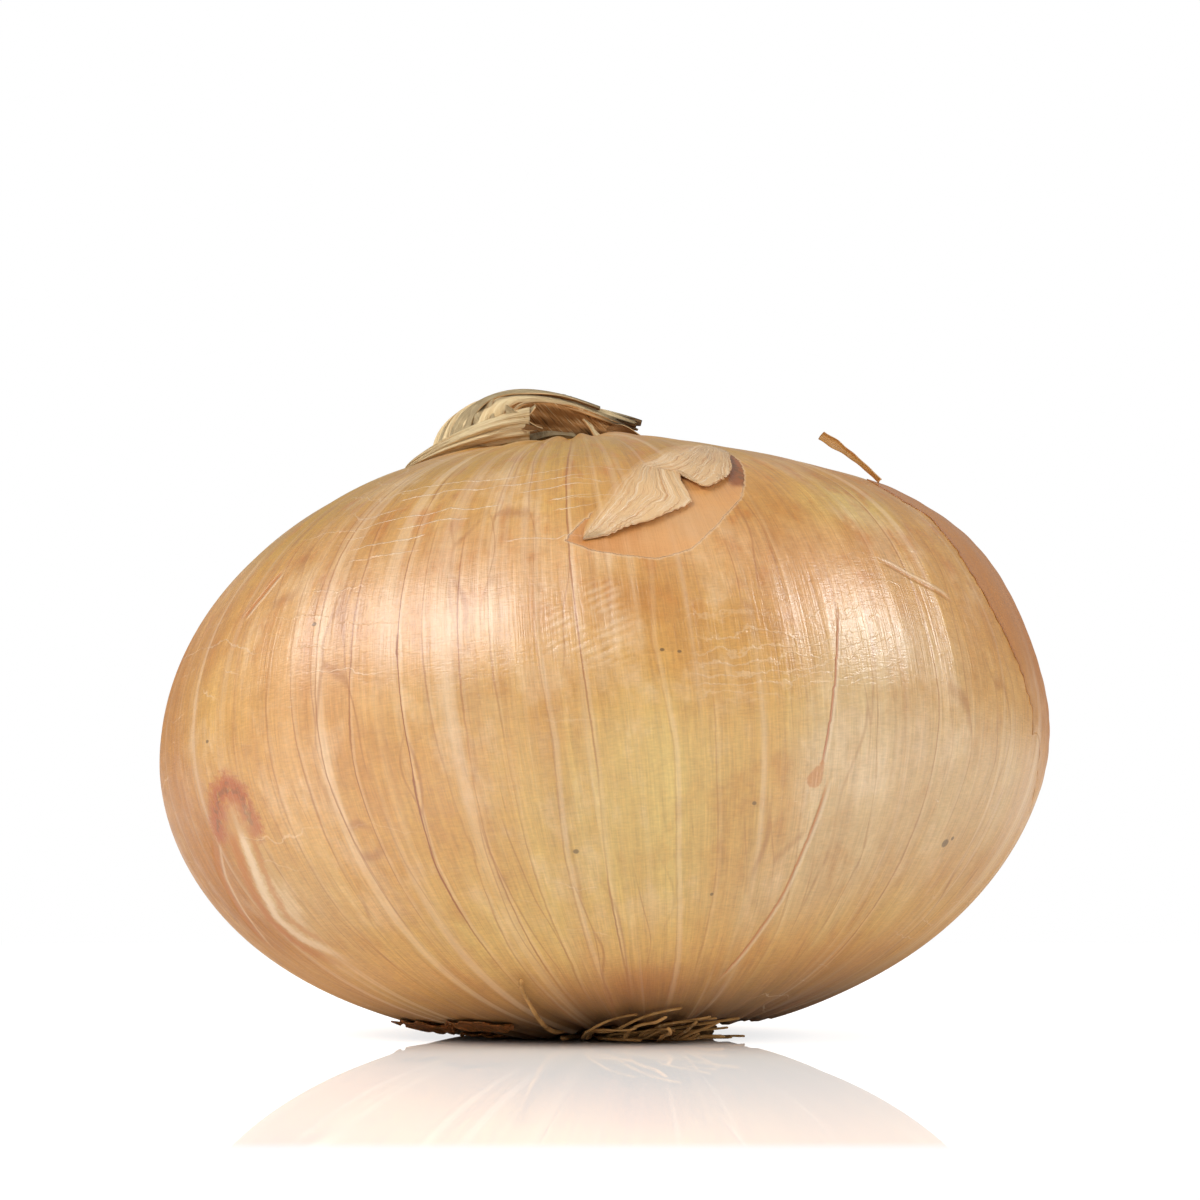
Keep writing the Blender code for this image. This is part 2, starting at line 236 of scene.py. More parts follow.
def wrap_of(polar, longitude):
    """Pattern coordinates in millimetres: round a cylinder as wide as the bulb, and along it."""
    turned = np.radians(longitude)
    return np.stack([47.0 * np.sin(turned), -47.0 * np.cos(turned), 0.75 * polar], axis=-1)


def bell(value, centre, width):
    return np.exp(-((value - centre) / width) ** 2)


def smooth_step(low, high, value):
    share = np.clip((value - low) / (high - low), 0, 1)
    return share * share * (3 - 2 * share)


def waves(values, count, low, high, seed):
    """Sum of sine waves of random pitch between low and high, each phase and size drawn by seed."""
    draw = np.random.default_rng(seed)
    total = np.zeros_like(values)
    for pitch in draw.uniform(low, high, count):
        total += draw.uniform(0.4, 1.0) * np.sin(pitch * values + draw.uniform(0, 2 * math.pi))
    return total / count ** 0.5


# ---------------------------------------------------------------- mesh helpers

def new_piece(name, points, faces, corner_uv, fields, material, replaced=()):
    """A shaded piece from its points, its faces (all of one size, or two arrays) and its attributes."""
    groups = faces if isinstance(faces, (list, tuple)) else [faces]
    uvs = corner_uv if isinstance(corner_uv, (list, tuple)) else [corner_uv]
    corners = np.concatenate([group.reshape(-1) for group in groups]).astype(np.int32)
    sizes = np.concatenate([np.full(len(group), group.shape[1]) for group in groups])
    mesh = bpy.data.meshes.new(name)
    mesh.vertices.add(len(points))
    mesh.vertices.foreach_set("co", np.ascontiguousarray(points, np.float32).reshape(-1))
    mesh.loops.add(len(corners))
    mesh.loops.foreach_set("vertex_index", corners)
    mesh.polygons.add(len(sizes))
    mesh.polygons.foreach_set("loop_start", (np.cumsum(sizes) - sizes).astype(np.int32))
    mesh.update(calc_edges=True)
    mesh.shade_smooth()
    layer = mesh.uv_layers.new(name="skin_uv")
    flat = np.concatenate([uv.reshape(-1, 2) for uv in uvs]).astype(np.float32)
    layer.data.foreach_set("uv", flat.reshape(-1))
    for key, values in fields.items():
        values = np.asarray(values, np.float32)
        kind, place = ("FLOAT_VECTOR", "vector") if values.ndim == 2 else ("FLOAT", "value")
        attribute = mesh.attributes.new(key, kind, "POINT")
        attribute.data.foreach_set(place, values.reshape(-1))
    mesh.materials.append(material)
    mesh.validate()
    piece = bpy.data.objects.new(name, mesh)
    bpy.context.scene.collection.objects.link(piece)
    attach(piece, "root")
    if replaced:
        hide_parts(*replaced)
    return piece


def grid_faces(rows, columns, closed=False):
    """Quads of a grid of rows by columns of points. If closed, the last column meets the first."""
    across = columns if closed else columns - 1
    row, column = np.meshgrid(np.arange(rows - 1), np.arange(across), indexing="ij")
    here = row * columns + column
    beside = row * columns + (column + 1) % columns
    return np.stack([here, here + columns, beside + columns, beside], axis=-1).reshape(-1, 4)


def grid_uv(rows, columns, closed=False):
    """Corner coordinates that match grid_faces, from 0 to 1 both ways."""
    across = columns if closed else columns - 1
    row, column = np.meshgrid(np.arange(rows - 1), np.arange(across), indexing="ij")
    corners = [(column, row), (column, row + 1), (column + 1, row + 1), (column + 1, row)]
    uv = [np.stack([c / across, r / (rows - 1)], axis=-1) for c, r in corners]
    return np.stack(uv, axis=2).reshape(-1, 4, 2)


def surface_normals(points):
    """Unit normals of a grid of points, from the differences along its rows and columns."""
    normal = np.cross(np.gradient(points, axis=0), np.gradient(points, axis=1))
    return normal / np.maximum(np.linalg.norm(normal, axis=-1, keepdims=True), 1e-12)


def shell(name, points, thickness, fields, material, replaced=(), outward=None):
    """A closed thin sheet: the grid, a second grid one thickness under it, and a rim joining them.
    The attribute "inside" is 0 on the outer wall and 1 on the inner."""
    rows, columns = points.shape[:2]
    normals = surface_normals(points)
    reference = normals if outward is None else outward
    if (normals * reference).sum() < 0:
        normals = -normals
        wound = -1
    else:
        wound = 1
    thickness = np.broadcast_to(thickness, (rows, columns))[..., None]
    inner = points - normals * thickness
    count = rows * columns
    quads, uv = grid_faces(rows, columns), grid_uv(rows, columns)
    rim = np.concatenate([np.arange(columns), np.arange(1, rows) * columns + columns - 1,
                          np.arange(columns - 2, -1, -1) + (rows - 1) * columns,
                          np.arange(rows - 2, 0, -1) * columns])
    after = np.roll(rim, -1)
    edge = np.stack([rim, after, after + count, rim + count], axis=-1)
    spot = np.stack([(rim % columns) / (columns - 1), (rim // columns) / (rows - 1)], axis=-1)
    edge_uv = np.stack([spot, np.roll(spot, -1, axis=0), np.roll(spot, -1, axis=0), spot], axis=1)
    if wound > 0:
        faces = np.concatenate([quads, quads[:, ::-1] + count, edge[:, ::-1]])
        corners = np.concatenate([uv, uv[:, ::-1], edge_uv[:, ::-1]])
    else:
        faces = np.concatenate([quads[:, ::-1], quads + count, edge])
        corners = np.concatenate([uv[:, ::-1], uv, edge_uv])
    both = {key: np.concatenate([np.asarray(v).reshape(count, *np.shape(v)[2:])] * 2)
            for key, v in fields.items()}
    both["inside"] = np.repeat([0.0, 1.0], count)
    all_points = np.concatenate([points.reshape(-1, 3), inner.reshape(-1, 3)])
    return new_piece(name, all_points, faces, corners, both, material, replaced)


def tube(name, path, radius, sides, material, replaced=(), squash=1.0, ripple=0.0, seed=0):
    """A closed tube: an uneven ring carried along the path, drawn to a point at both ends.
    Each ring's radius is the given one times 1 plus ripple times a sum of waves."""
    count = len(path)
    along = np.gradient(path, axis=0)
    along = along / np.linalg.norm(along, axis=1, keepdims=True)
    side = np.cross(along, np.array([0.12, 0.05, 1.0]))
    side = side / np.linalg.norm(side, axis=1, keepdims=True)
    upward = np.cross(side, along)
    angle = np.linspace(0, 2 * math.pi, sides, endpoint=False)
    share = np.linspace(0, 1, count)
    uneven = 1 + ripple * (waves(share * 40, 5, 0.6, 1.8, seed)[:, None] * 0.6
                           + 0.5 * np.sin(2 * angle + 9 * share[:, None] + seed)
                           + 0.35 * np.sin(3 * angle - 14 * share[:, None] + 2 * seed))
    ring = np.asarray(radius)[:, None] * uneven
    points = (path[:, None, :] + (ring * np.cos(angle))[..., None] * side[:, None, :]
              + (ring * np.sin(angle) * squash)[..., None] * upward[:, None, :])
    points = points.reshape(-1, 3)
    tips = np.stack([path[0] - along[0] * radius[0] * 0.4, path[-1] + along[-1] * radius[-1] * 0.8])
    first, last = len(points), len(points) + 1
    ring_index = np.arange(sides)
    start = np.stack([np.full(sides, first), ring_index, (ring_index + 1) % sides], axis=-1)
    end = np.stack([np.full(sides, last), (ring_index + 1) % sides, ring_index], axis=-1)
    end[:, 1:] += (count - 1) * sides
    quads = grid_faces(count, sides, closed=True)
    uv = grid_uv(count, sides, closed=True)
    cap_uv = [np.broadcast_to(np.array([0.5, value]), (sides, 3, 2)) for value in (0.0, 1.0)]
    lengthways = np.repeat(share, sides)
    fields = {"lengthways": np.concatenate([lengthways, [0.0, 1.0]])}
    return new_piece(name, np.concatenate([points, tips]), [quads[:, ::-1], start[:, ::-1], end[:, ::-1]],
                     [uv[:, ::-1], cap_uv[0], cap_uv[1]], fields, material, replaced)


# ---------------------------------------------------------------- marks on the skin

# Outlines and lines on the skin, as polar angle and longitude.
WINDOW = ((60.8, -3.4), (63.5, 0), (65, 4), (66, 8), (64.3, 12.5), (59.5, 17), (52.5, 22.8),
          (46.5, 26), (40, 29), (35, 30.5), (34, 24), (42, 14), (49, 6), (57, -1))
SPLIT = ((75, 30.5), (84, 29), (94.7, 27.5), (102, 26.6), (107.7, 25.8))
TEAR = ((108.2, 27.2), (115, 26.2), (122.5, 24.8), (130, 23.4), (136, 21.5), (142, 19.6), (150, 16))
SCAR = ((107.2, -54.3), (112.5, -55), (118, -56.5), (123.5, -58), (128, -57), (131.5, -54), (135, -49.5))
SCAR_LINE = ((108, -61.8), (113.5, -65), (119, -67), (128.5, -71))
STAIN = ((106.5, -59.5), (101, -56.8), (99.2, -54.2), (101.5, -52), (107, -51.6))
CREASE = ((66.8, 39.5), (69.5, 43.5), (71.8, 46.8), (74.3, 50.5))
BRUISE = ((37, 28.6), (42, 27), (46, 25.6), (50, 24.4))
NICK = ((58, -48.5), (62.8, -50.5), (67, -53))
THORN = ((105, 26.4), (108.6, 25.2))

# Soft patches of colour: longitude, polar angle, half widths of both, and amount.
PATCHES = {
    # The blush patches in the upper front, where the sheen falls, are partly pinkish skin and partly painted
    # sheen.
    "blush": ((-34, 76, 20, 18, 0.7), (-14, 68, 14, 16, 0.7), (12, 62, 16, 8, 0.5), (30, 72, 13, 14, 0.7),
              (-40, 104, 10, 16, 0.4), (150, 90, 40, 25, 0.6)),
    "amber": ((-82, 84, 18, 36, 0.95), (-64, 116, 16, 20, 0.85), (82, 80, 16, 34, 0.9),
              (-52, 62, 14, 12, 0.35), (4, 72, 12, 9, 0.45), (-30, 96, 10, 9, 0.3), (14, 92, 9, 7, 0.3),
              (180, 60, 30, 20, 0.5)),
    "yellow": ((-3, 120, 19, 26, 0.75), (12, 106, 17, 18, 0.35), (41, 54, 9, 7, 0.9), (-28, 134, 18, 12, 0.6),
               (45, 134, 22, 9, 0.55), (30, 96, 10, 8, 0.4), (-150, 110, 40, 25, 0.8),
               (100, 120, 25, 15, 0.5)),
    "gold": ((-66, 42, 28, 15, 0.95), (-20, 30, 40, 12, 0.9), (42, 52, 10, 8, 0.6), (30, 28, 30, 12, 0.5),
             (150, 30, 80, 18, 0.8), (-45, 146, 26, 7, 0.5)),
    "rosy": ((34, 108, 12, 14, 1.0), (56, 112, 22, 22, 0.8), (36, 84, 14, 10, 0.6), (24, 128, 16, 12, 0.6),
             (-50, 121, 12, 14, 0.6), (-16, 90, 10, 10, 0.4), (-120, 80, 30, 25, 0.5)),
    "rust": ((1, 147, 11, 7, 0.6), (4, 154, 24, 7, 0.4), (80, 88, 12, 22, 0.6), (-68, 92, 5, 14, 0.5),
             (5, 74, 13, 7, 0.3), (-30, 152, 26, 7, 0.3), (-12, 46, 12, 7, 0.3), (-56, 104, 5, 5, 0.5)),
}

# Small dark specks: polar angle, longitude and radius in millimetres.
SPECKS = ((118, -6.5, 0.24), (83.5, 6.8, 0.16), (84, 8.8, 0.16), (120.5, 51.5, 0.42), (119.6, 52.8, 0.2),
          (71.8, -37.2, 0.22), (112, 17, 0.18), (90, -57, 0.2), (128, 12, 0.16), (97, 150, 0.3),
          (70, -140, 0.3))

# Longitudes of the veins in front, and how dark each is: below 0 it is a pale raised line.
VEINS = ((-58, 0.3), (-51, 0.25), (-44, 0.3), (-40, 0.55), (-36.5, 0.7), (-31.5, 0.65), (-25, 1.0),
         (-21, 0.45), (-17, 0.7), (-13, 0.4), (-7.5, -1.0), (-2.7, 0.65), (2.5, -0.3), (7, -0.9),
         (12.5, 0.3), (18, -0.3), (24, 0.25), (34, 0.3), (39, -0.4), (43.5, 0.55), (50, -0.3),
         (58, -0.6), (66, 0.3))


def route_distance(points, normals, route):
    """Signed distance in millimetres to a route on the surface, positive to one side of it, and
    how far along the route the nearest place is, from 0 to 1."""
    best = np.full(len(points), 1e9)
    signed, along = np.zeros(len(points)), np.zeros(len(points))
    steps = len(route) - 1
    for index in range(steps):
        start, step = route[index], route[index + 1] - route[index]
        offset = points - start
        share = np.clip(offset @ step / (step @ step), 0, 1)
        away = offset - share[:, None] * step
        distance = np.linalg.norm(away, axis=1)
        nearer = distance < best
        side = np.sign((np.cross(step, away) * normals).sum(axis=1))
        best = np.where(nearer, distance, best)
        signed = np.where(nearer, distance * np.where(side == 0, 1, side), signed)
        along = np.where(nearer, (index + share) / steps, along)
    return signed / MM, along


def inside_outline(polar, longitude, outline):
    """True inside a closed outline: a line from the point crosses its sides an odd number of times."""
    odd = np.zeros(polar.shape, bool)
    for (a, b), (c, d) in zip(outline, outline[1:] + outline[:1]):
        crosses = (a > polar) != (c > polar)
        at = b + (polar - a) * (d - b) / (c - a if c != a else 1e-9)
        odd ^= crosses & (longitude < at)
    return odd


def mark_fields(shape, points, polar, longitude):
    """Distances from each point of the skin to the window, the splits, the scar and the crease."""
    normals = bulb_normal(shape, polar, longitude)
    fields = {}
    ring = on_bulb(shape, *np.array(WINDOW + WINDOW[:1]).T)
    distance, _ = route_distance(points, normals, ring)
    inside = inside_outline(polar, longitude, WINDOW)
    fields["window"] = np.abs(distance) * np.where(inside, 1, -1)
    for key, route in (("split", SPLIT), ("tear", TEAR), ("scar", SCAR), ("scar_line", SCAR_LINE),
                       ("stain", STAIN), ("crease", CREASE), ("bruise", BRUISE), ("nick", NICK),
                       ("thorn", THORN)):
        distance, along = route_distance(points, normals, on_bulb(shape, *np.array(route).T))
        blunt = key in ("stain", "bruise", "thorn")
        fields[key] = np.abs(distance) if blunt else np.clip(distance, -40, 40)
        fields[key + "_along"] = along
    fields["scar_near"] = np.abs(fields["scar"])
    return fields


def vein_lines():
    """All the veins round the bulb: those in front as listed, the rest drawn at random."""
    draw = np.random.default_rng(3)
    places = [place for place, _ in VEINS]
    tones = [tone for _, tone in VEINS]
    while places[-1] < 360 - 66:
        places.append(places[-1] + draw.uniform(3.5, 8.0))
        tones.append(draw.choice([-0.7, -0.4, 0.3, 0.5, 0.8]))
    return np.array(places), np.array(tones), draw


def skin_fields(polar, longitude):
    """What the skin's pattern reads: its wrapped place, the colour patches as sums of bells, and the
    veins as a level that is a whole number on each vein, with the spacing in millimetres and the
    tone of the nearest. A vein's longitude bends at random stations from neck to root."""
    fields = {"wrap": wrap_of(polar, longitude), "polar": polar, "longitude": longitude}
    for key, bells in PATCHES.items():
        total = np.zeros(polar.shape)
        for place, height, wide, tall, amount in bells:
            turned = (longitude - place + 180) % 360 - 180
            total = total + amount * np.exp(-(turned / wide) ** 2 - ((polar - height) / tall) ** 2)
        fields[key] = np.minimum(total, 1.0)
    places, tones, draw = vein_lines()
    round_trip = (longitude - places[0] + 360) % 360 + places[0]
    stations = np.linspace(0, 180, 10)
    lines = [place + np.interp(polar, stations + draw.uniform(-6, 6), draw.normal(0, 0.55, 10))
             for place in places]
    fades = [smooth_step(10, 30, polar - draw.uniform(0, 45))
             * smooth_step(176, 150, polar + draw.uniform(0, 30)) for _ in places]
    level = np.full(polar.shape, -0.5)
    gap, tone = np.full(polar.shape, 6.0), np.zeros(polar.shape)
    lines.append(lines[0] + 360)
    fades.append(fades[0])
    tones = np.append(tones, tones[0])
    for k in range(len(lines) - 1):
        share = (round_trip - lines[k]) / (lines[k + 1] - lines[k])
        within = (share >= 0) & (share < 1)
        level = np.where(within, k + share, level)
        gap = np.where(within, lines[k + 1] - lines[k], gap)
        nearest = np.where(share < 0.5, tones[k] * fades[k], tones[k + 1] * fades[k + 1])
        tone = np.where(within, nearest, tone)
    fields["vein_level"] = level
    fields["vein_gap"] = gap * 0.835 * np.maximum(np.sin(np.radians(polar)), 0.05)
    fields["vein_tone"] = tone
    return fields


# ---------------------------------------------------------------- shader helpers

class Wire:
    """A shader socket that can stand in an expression: each operator adds a Math node."""

    def __init__(self, graph, socket):
        self.graph, self.socket = graph, socket

    def math(self, operation, *values):
        return self.graph.make("Math", {"operation": operation}, dict(enumerate(values)))

    def __add__(self, other): return self.math("ADD", self, other)
    def __radd__(self, other): return self.math("ADD", other, self)
    def __sub__(self, other): return self.math("SUBTRACT", self, other)
    def __rsub__(self, other): return self.math("SUBTRACT", other, self)
    def __mul__(self, other): return self.math("MULTIPLY", self, other)
    def __rmul__(self, other): return self.math("MULTIPLY", other, self)
    def __truediv__(self, other): return self.math("DIVIDE", self, other)
    def __abs__(self): return self.math("ABSOLUTE", self)

    def least(self, other): return self.math("MINIMUM", self, other)
    def most(self, other): return self.math("MAXIMUM", self, other)
    def fraction(self): return self.math("FRACT", self)
    def root(self): return self.math("SQRT", self)

    def step(self, low, high, start=0.0, end=1.0):
        """Smooth step from start at low to end at high."""
        return self.graph.make("MapRange", {"interpolation_type": "SMOOTHSTEP"},
                               {"Value": self, "From Min": low, "From Max": high,
                                "To Min": start, "To Max": end})

    def line(self, half_width, softness):
        """1 where this distance is under half_width, fading to 0 over softness."""
        return abs(self).step(half_width, half_width + softness, 1.0, 0.0)


class Graph:
    """A node material under construction."""

    def __init__(self, name):
        self.material = bpy.data.materials.new(name)
        self.material.use_nodes = True
        self.tree = self.material.node_tree
        self.shader = self.tree.nodes["Principled BSDF"]

    def make(self, kind, settings, sockets, output=0):
        """Any node: its type, its settings, the values or links of its sockets, and its output."""
        node = self.tree.nodes.new("ShaderNode" + kind)
        for key, value in settings.items():
            setattr(node, key, value)
        for key, value in sockets.items():
            self.connect(node.inputs[key], value)
        return Wire(self, node.outputs[output])

    def connect(self, socket, value):
        if isinstance(value, Wire):
            self.tree.links.new(value.socket, socket)
        elif socket.type == "RGBA" and len(value) == 3:
            socket.default_value = (*value, 1.0)
        else:
            socket.default_value = value

    def attribute(self, name, output="Fac"):
        return self.make("Attribute", {"attribute_name": name}, {}, output)

    def stretch(self, vector, scale):
        return self.make("VectorMath", {"operation": "MULTIPLY"}, {0: vector, 1: scale})

    def noise(self, vector, scale, detail=2.0, roughness=0.5):
        return self.make("TexNoise", {}, {"Vector": vector, "Scale": scale, "Detail": detail,
                                          "Roughness": roughness})

    def cells(self, vector, scale):
        """Distance to the nearest edge between random cells."""
        return self.make("TexVoronoi", {"feature": "DISTANCE_TO_EDGE"}, {"Vector": vector, "Scale": scale})

    def mix(self, share, first, second, blend="MIX"):
        return self.make("Mix", {"data_type": "RGBA", "blend_type": blend},
                         {0: share, 6: first, 7: second}, 2)

    def finish(self, base, roughness, height, settings):
        """Joins colour, roughness and relief (in millimetres) to the shader, and sets its constants."""
        bump = self.make("Bump", {}, {"Height": height, "Strength": 1.0, "Distance": MM})
        self.connect(self.shader.inputs["Base Color"], base)
        self.connect(self.shader.inputs["Roughness"], roughness)
        self.connect(self.shader.inputs["Normal"], bump)
        for key, value in settings.items():
            self.connect(self.shader.inputs[key], value)
        return self.material


# ---------------------------------------------------------------- materials

def skin_ground(graph, skin, wrap, polar, bands):
    """Ground colour of the skin: straw, with the patches' colours broken up by streaks and blots, browned
    round the foot partly as stain and partly as painted shade on the underside.
    """
    breakup = (graph.noise(graph.stretch(wrap, (1, 1, 0.3)), 0.16, 4.0, 0.6) - 0.5) * 1.1
    streaks = (bands - 0.5) * 0.9
    ground = graph.mix((graph.noise(wrap, 0.05, 2.0) + streaks * 0.2).step(0.35, 0.65), skin.straw, skin.tan)
    for key, tint in (("blush", skin.blush), ("amber", skin.amber), ("gold", skin.gold),
                      ("yellow", skin.yellow), ("rosy", skin.rosy)):
        amount = graph.attribute(key)
        share = (amount + (breakup * 0.45 + streaks * 0.4) * amount.step(0.02, 0.35)).step(0.08, 0.95)
        ground = graph.mix(share * 0.9, ground, tint)
    stain = graph.attribute("rust")
    share = (stain + (breakup * 0.5 + streaks * 0.6) * stain.step(0.02, 0.3)).step(0.1, 1.0)
    ground = graph.mix(share * 0.75, ground, skin.orange)
    cloud = graph.noise(graph.stretch(wrap, (1, 1, 0.5)), 0.16, 5.0, 0.64) + streaks * 0.12
    ground = graph.mix(cloud.step(0.52, 0.70) * 0.40, ground, skin.amber)
    ground = graph.mix(cloud.step(0.50, 0.32) * 0.20 * polar.step(150, 120), ground, skin.pale)
    blots = graph.noise(graph.stretch(wrap, (1, 1, 0.6)), 0.34, 4.0, 0.6).step(0.50, 0.70)
    ground = graph.mix(blots * polar.step(90, 60) * 0.50, ground, skin.orange)
    # Brown round the foot: partly the foot's stain, partly painted shade on the underside.
    foot = (polar + streaks * 12).step(136, 165)
    return graph.mix(foot * 0.96, ground, skin.brown)


def add_veins(graph, skin, wrap, base, height):
    """Long veins down the meridians, some brown with a pale side and some pale, and a faint net of
    finer ones from the edges of cells drawn out along the meridians."""
    level = graph.attribute("vein_level")
    gap, tone = graph.attribute("vein_gap"), graph.attribute("vein_tone")
    shiver = (graph.noise(graph.stretch(wrap, (1, 1, 0.6)), 0.9, 3.0, 0.6) - 0.5) * 0.22
    distance = ((level + 0.5).fraction() - 0.5) * gap + shiver
    presence = graph.noise(graph.stretch(wrap, (1, 1, 0.25)), 0.14, 2.0).step(0.30, 0.62)
    brown = tone.most(0.0) * (0.25 + 0.75 * presence)
    pale = (0.0 - tone).most(0.0) * (0.4 + 0.6 * presence)
    core = distance.line(0.02, 0.13)
    beside = (distance - 0.26).line(0.05, 0.22)
    wide = distance.line(0.08, 0.34)
    base = graph.mix(brown * beside * 0.22, base, skin.pale)
    base = graph.mix((brown * core * 1.1).least(1.0), base, skin.vein)
    base = graph.mix(pale * wide * 0.22, base, skin.pale)
    base = graph.mix(pale * (distance + 0.3).line(0.02, 0.12) * 0.3, base, skin.vein)
    bent = graph.make("TexNoise", {}, {"Vector": wrap, "Scale": 0.05, "Detail": 1.0}, 1)
    moved = graph.make("VectorMath", {"operation": "MULTIPLY_ADD"}, {0: bent, 1: (5.0, 5.0, 12.0), 2: wrap})
    net = graph.cells(graph.stretch(moved, (1, 1, 0.055)), 0.22) / 0.22
    patch = graph.noise(graph.stretch(wrap, (1, 1, 0.4)), 0.09, 2.0).step(0.46, 0.62)
    fine = net.line(0.01, 0.11) * patch
    base = graph.mix(fine * 0.42, base, skin.vein)
    height = height - core * brown * 0.012 + beside * brown * 0.007 + wide * pale * 0.012 - fine * 0.004
    return base, height


def add_wrinkles(graph, skin, wrap, polar, longitude, base, height):
    """Hair-fine pale wrinkles that cross the veins, laid out as wandering stripes and let through in
    patches: on the left shoulder, in a slanting comb in the middle and on the right cheek."""
    broad = graph.noise(wrap, 0.07, 2.0) - 0.5
    small = graph.noise(wrap, 0.45, 3.0, 0.6) - 0.5
    length = graph.noise(graph.stretch(wrap, (0.5, 0.5, 1.6)), 0.16, 2.0)

    def stripes(level, pitch, half, soft):
        phase = level / pitch
        return ((phase.fraction() - 0.5) * pitch).line(half, soft)

    shoulder = longitude.step(-40, -30) * longitude.step(4, -5) * polar.step(38, 43) * polar.step(64, 57)
    lines = stripes(polar * 0.75 + broad * 5.5 + small * 1.1, 2.3, 0.02, 0.10)
    hairs = lines * shoulder * length.step(0.42, 0.52)
    comb_area = longitude.step(-8, -5) * longitude.step(6, 1) * polar.step(66, 71) * polar.step(90, 83)
    comb = stripes(polar * 0.75 + longitude * 0.50 + broad * 3.0 + small * 0.8, 1.15, 0.10, 0.40) * comb_area
    comb = comb * graph.noise(wrap, 0.22, 3.0, 0.6).step(0.42, 0.62)
    cheek_area = longitude.step(8, 13) * longitude.step(42, 33) * polar.step(72, 78) * polar.step(97, 90)
    cheek = stripes(polar * 0.75 + longitude * 0.10 + broad * 13.0 + small * 4.5, 2.0, 0.04, 0.26)
    cheek = cheek * cheek_area * length.step(0.36, 0.56)
    other = stripes(polar * 0.75 - longitude * 0.12 + broad * 9.0 + small * 2.0, 3.7, 0.02, 0.14)
    other = other * graph.noise(wrap, 0.045, 1.0).step(0.56, 0.64) * length.step(0.44, 0.56)
    base = graph.mix(hairs * 0.75, base, skin.pale)
    base = graph.mix(comb * 0.20 + cheek * 0.20 + other * 0.26, base, skin.pale)
    height = height + hairs * 0.06 + comb * 0.03 + cheek * 0.022 + other * 0.03
    return base, height


def skin_material(name, skin, marks=True, creased=False, aged=0.0):
    """Dry onion skin: ground colours, stretched fibres, veins, wrinkles, specks, and the marks."""
    graph = Graph(name)
    wrap = graph.attribute("wrap", "Vector")
    polar, longitude = graph.attribute("polar"), graph.attribute("longitude")
    bands = graph.noise(graph.stretch(wrap, (1, 1, 0.035)), 0.22, 4.0, 0.62)
    base = skin_ground(graph, skin, wrap, polar, bands)

    fine = graph.noise(graph.stretch(wrap, (1, 1, 0.02)), 1.3, 3.0, 0.6)
    fibre = graph.noise(graph.stretch(wrap, (1, 1, 0.05)), 5.5, 2.0, 0.5)
    weave = graph.noise(graph.stretch(wrap, (0.25, 0.25, 1)), 4.5, 2.0, 0.5)
    mottle = graph.noise(wrap, 0.5, 4.0, 0.65)
    shade = (1.0 + (bands - 0.5) * 0.34 + (fine - 0.5) * 0.34 + (fibre - 0.5) * 0.44
             + (weave - 0.5) * 0.36 + (mottle - 0.5) * 0.24)
    warm = 1.0 + (mottle - 0.5) * 0.35 + (fine - 0.5) * 0.3 + (bands - 0.5) * 0.6
    tint = graph.make("CombineColor", {}, {0: shade, 1: shade * warm.root(), 2: shade * warm})
    base = graph.mix(1.0, base, tint, "MULTIPLY")
    light_bands = graph.noise(graph.stretch(wrap, (1, 1, 0.02)), 0.36, 2.0, 0.5).step(0.56, 0.70)
    base = graph.mix(light_bands * 0.24, base, skin.pale)

    height = ((fibre - 0.5) * 0.035 + (fine - 0.5) * 0.08 + (bands - 0.5) * 0.26 + (weave - 0.5) * 0.025
              + (mottle - 0.5) * 0.06)
    base, height = add_veins(graph, skin, wrap, base, height)
    base, height = add_wrinkles(graph, skin, wrap, polar, longitude, base, height)
    for height_angle, place, radius in SPECKS:
        centre = tuple(float(v) for v in wrap_of(height_angle, place))
        away = graph.make("VectorMath", {"operation": "DISTANCE"}, {0: wrap, 1: centre}, 1)
        spot = (away + (mottle - 0.5) * 0.2).step(radius, radius * 1.7, 0.75, 0.0)
        base = graph.mix(spot, base, skin.speck)
    rough = 0.335 + (mottle - 0.5) * 0.22 + polar.step(100, 150) * 0.35 + graph.attribute("amber") * 0.15

    if marks:
        base, height = add_marks(graph, skin, wrap, base, height)
    if creased:
        across, wear_and_shade = graph.attribute("creases"), graph.attribute("edge")
        wander = (graph.noise(wrap, 0.25, 2.0) - 0.5) * 1.6
        lines = graph.noise(graph.make("CombineXYZ", {}, {0: across + wander, 1: longitude * 0.03}),
                            3.6, 3.0, 0.65)
        lit, dark = lines.step(0.52, 0.62), lines.step(0.46, 0.36)
        base = graph.mix(wear_and_shade * 0.8, base, skin.flap)
        base = graph.mix(lit * wear_and_shade * 0.6, base, skin.pale)
        base = graph.mix(dark * wear_and_shade * 0.55, base, skin.orange)
        height = height + (lines - 0.5) * wear_and_shade * 0.35
    if aged:
        jag = (graph.noise(wrap, 0.9, 3.0, 0.6) - 0.5) * 1.4
        age = graph.attribute("age")
        base = graph.mix(age * aged, base, skin.mauve)
        torn = (graph.attribute("edge") + jag * 0.6).step(0.9, 0.1)
        base = graph.mix(torn * age * 0.4, base, skin.orange)
    return graph.finish(base, rough, height, {"IOR": 1.55, "Specular IOR Level": 1.0})


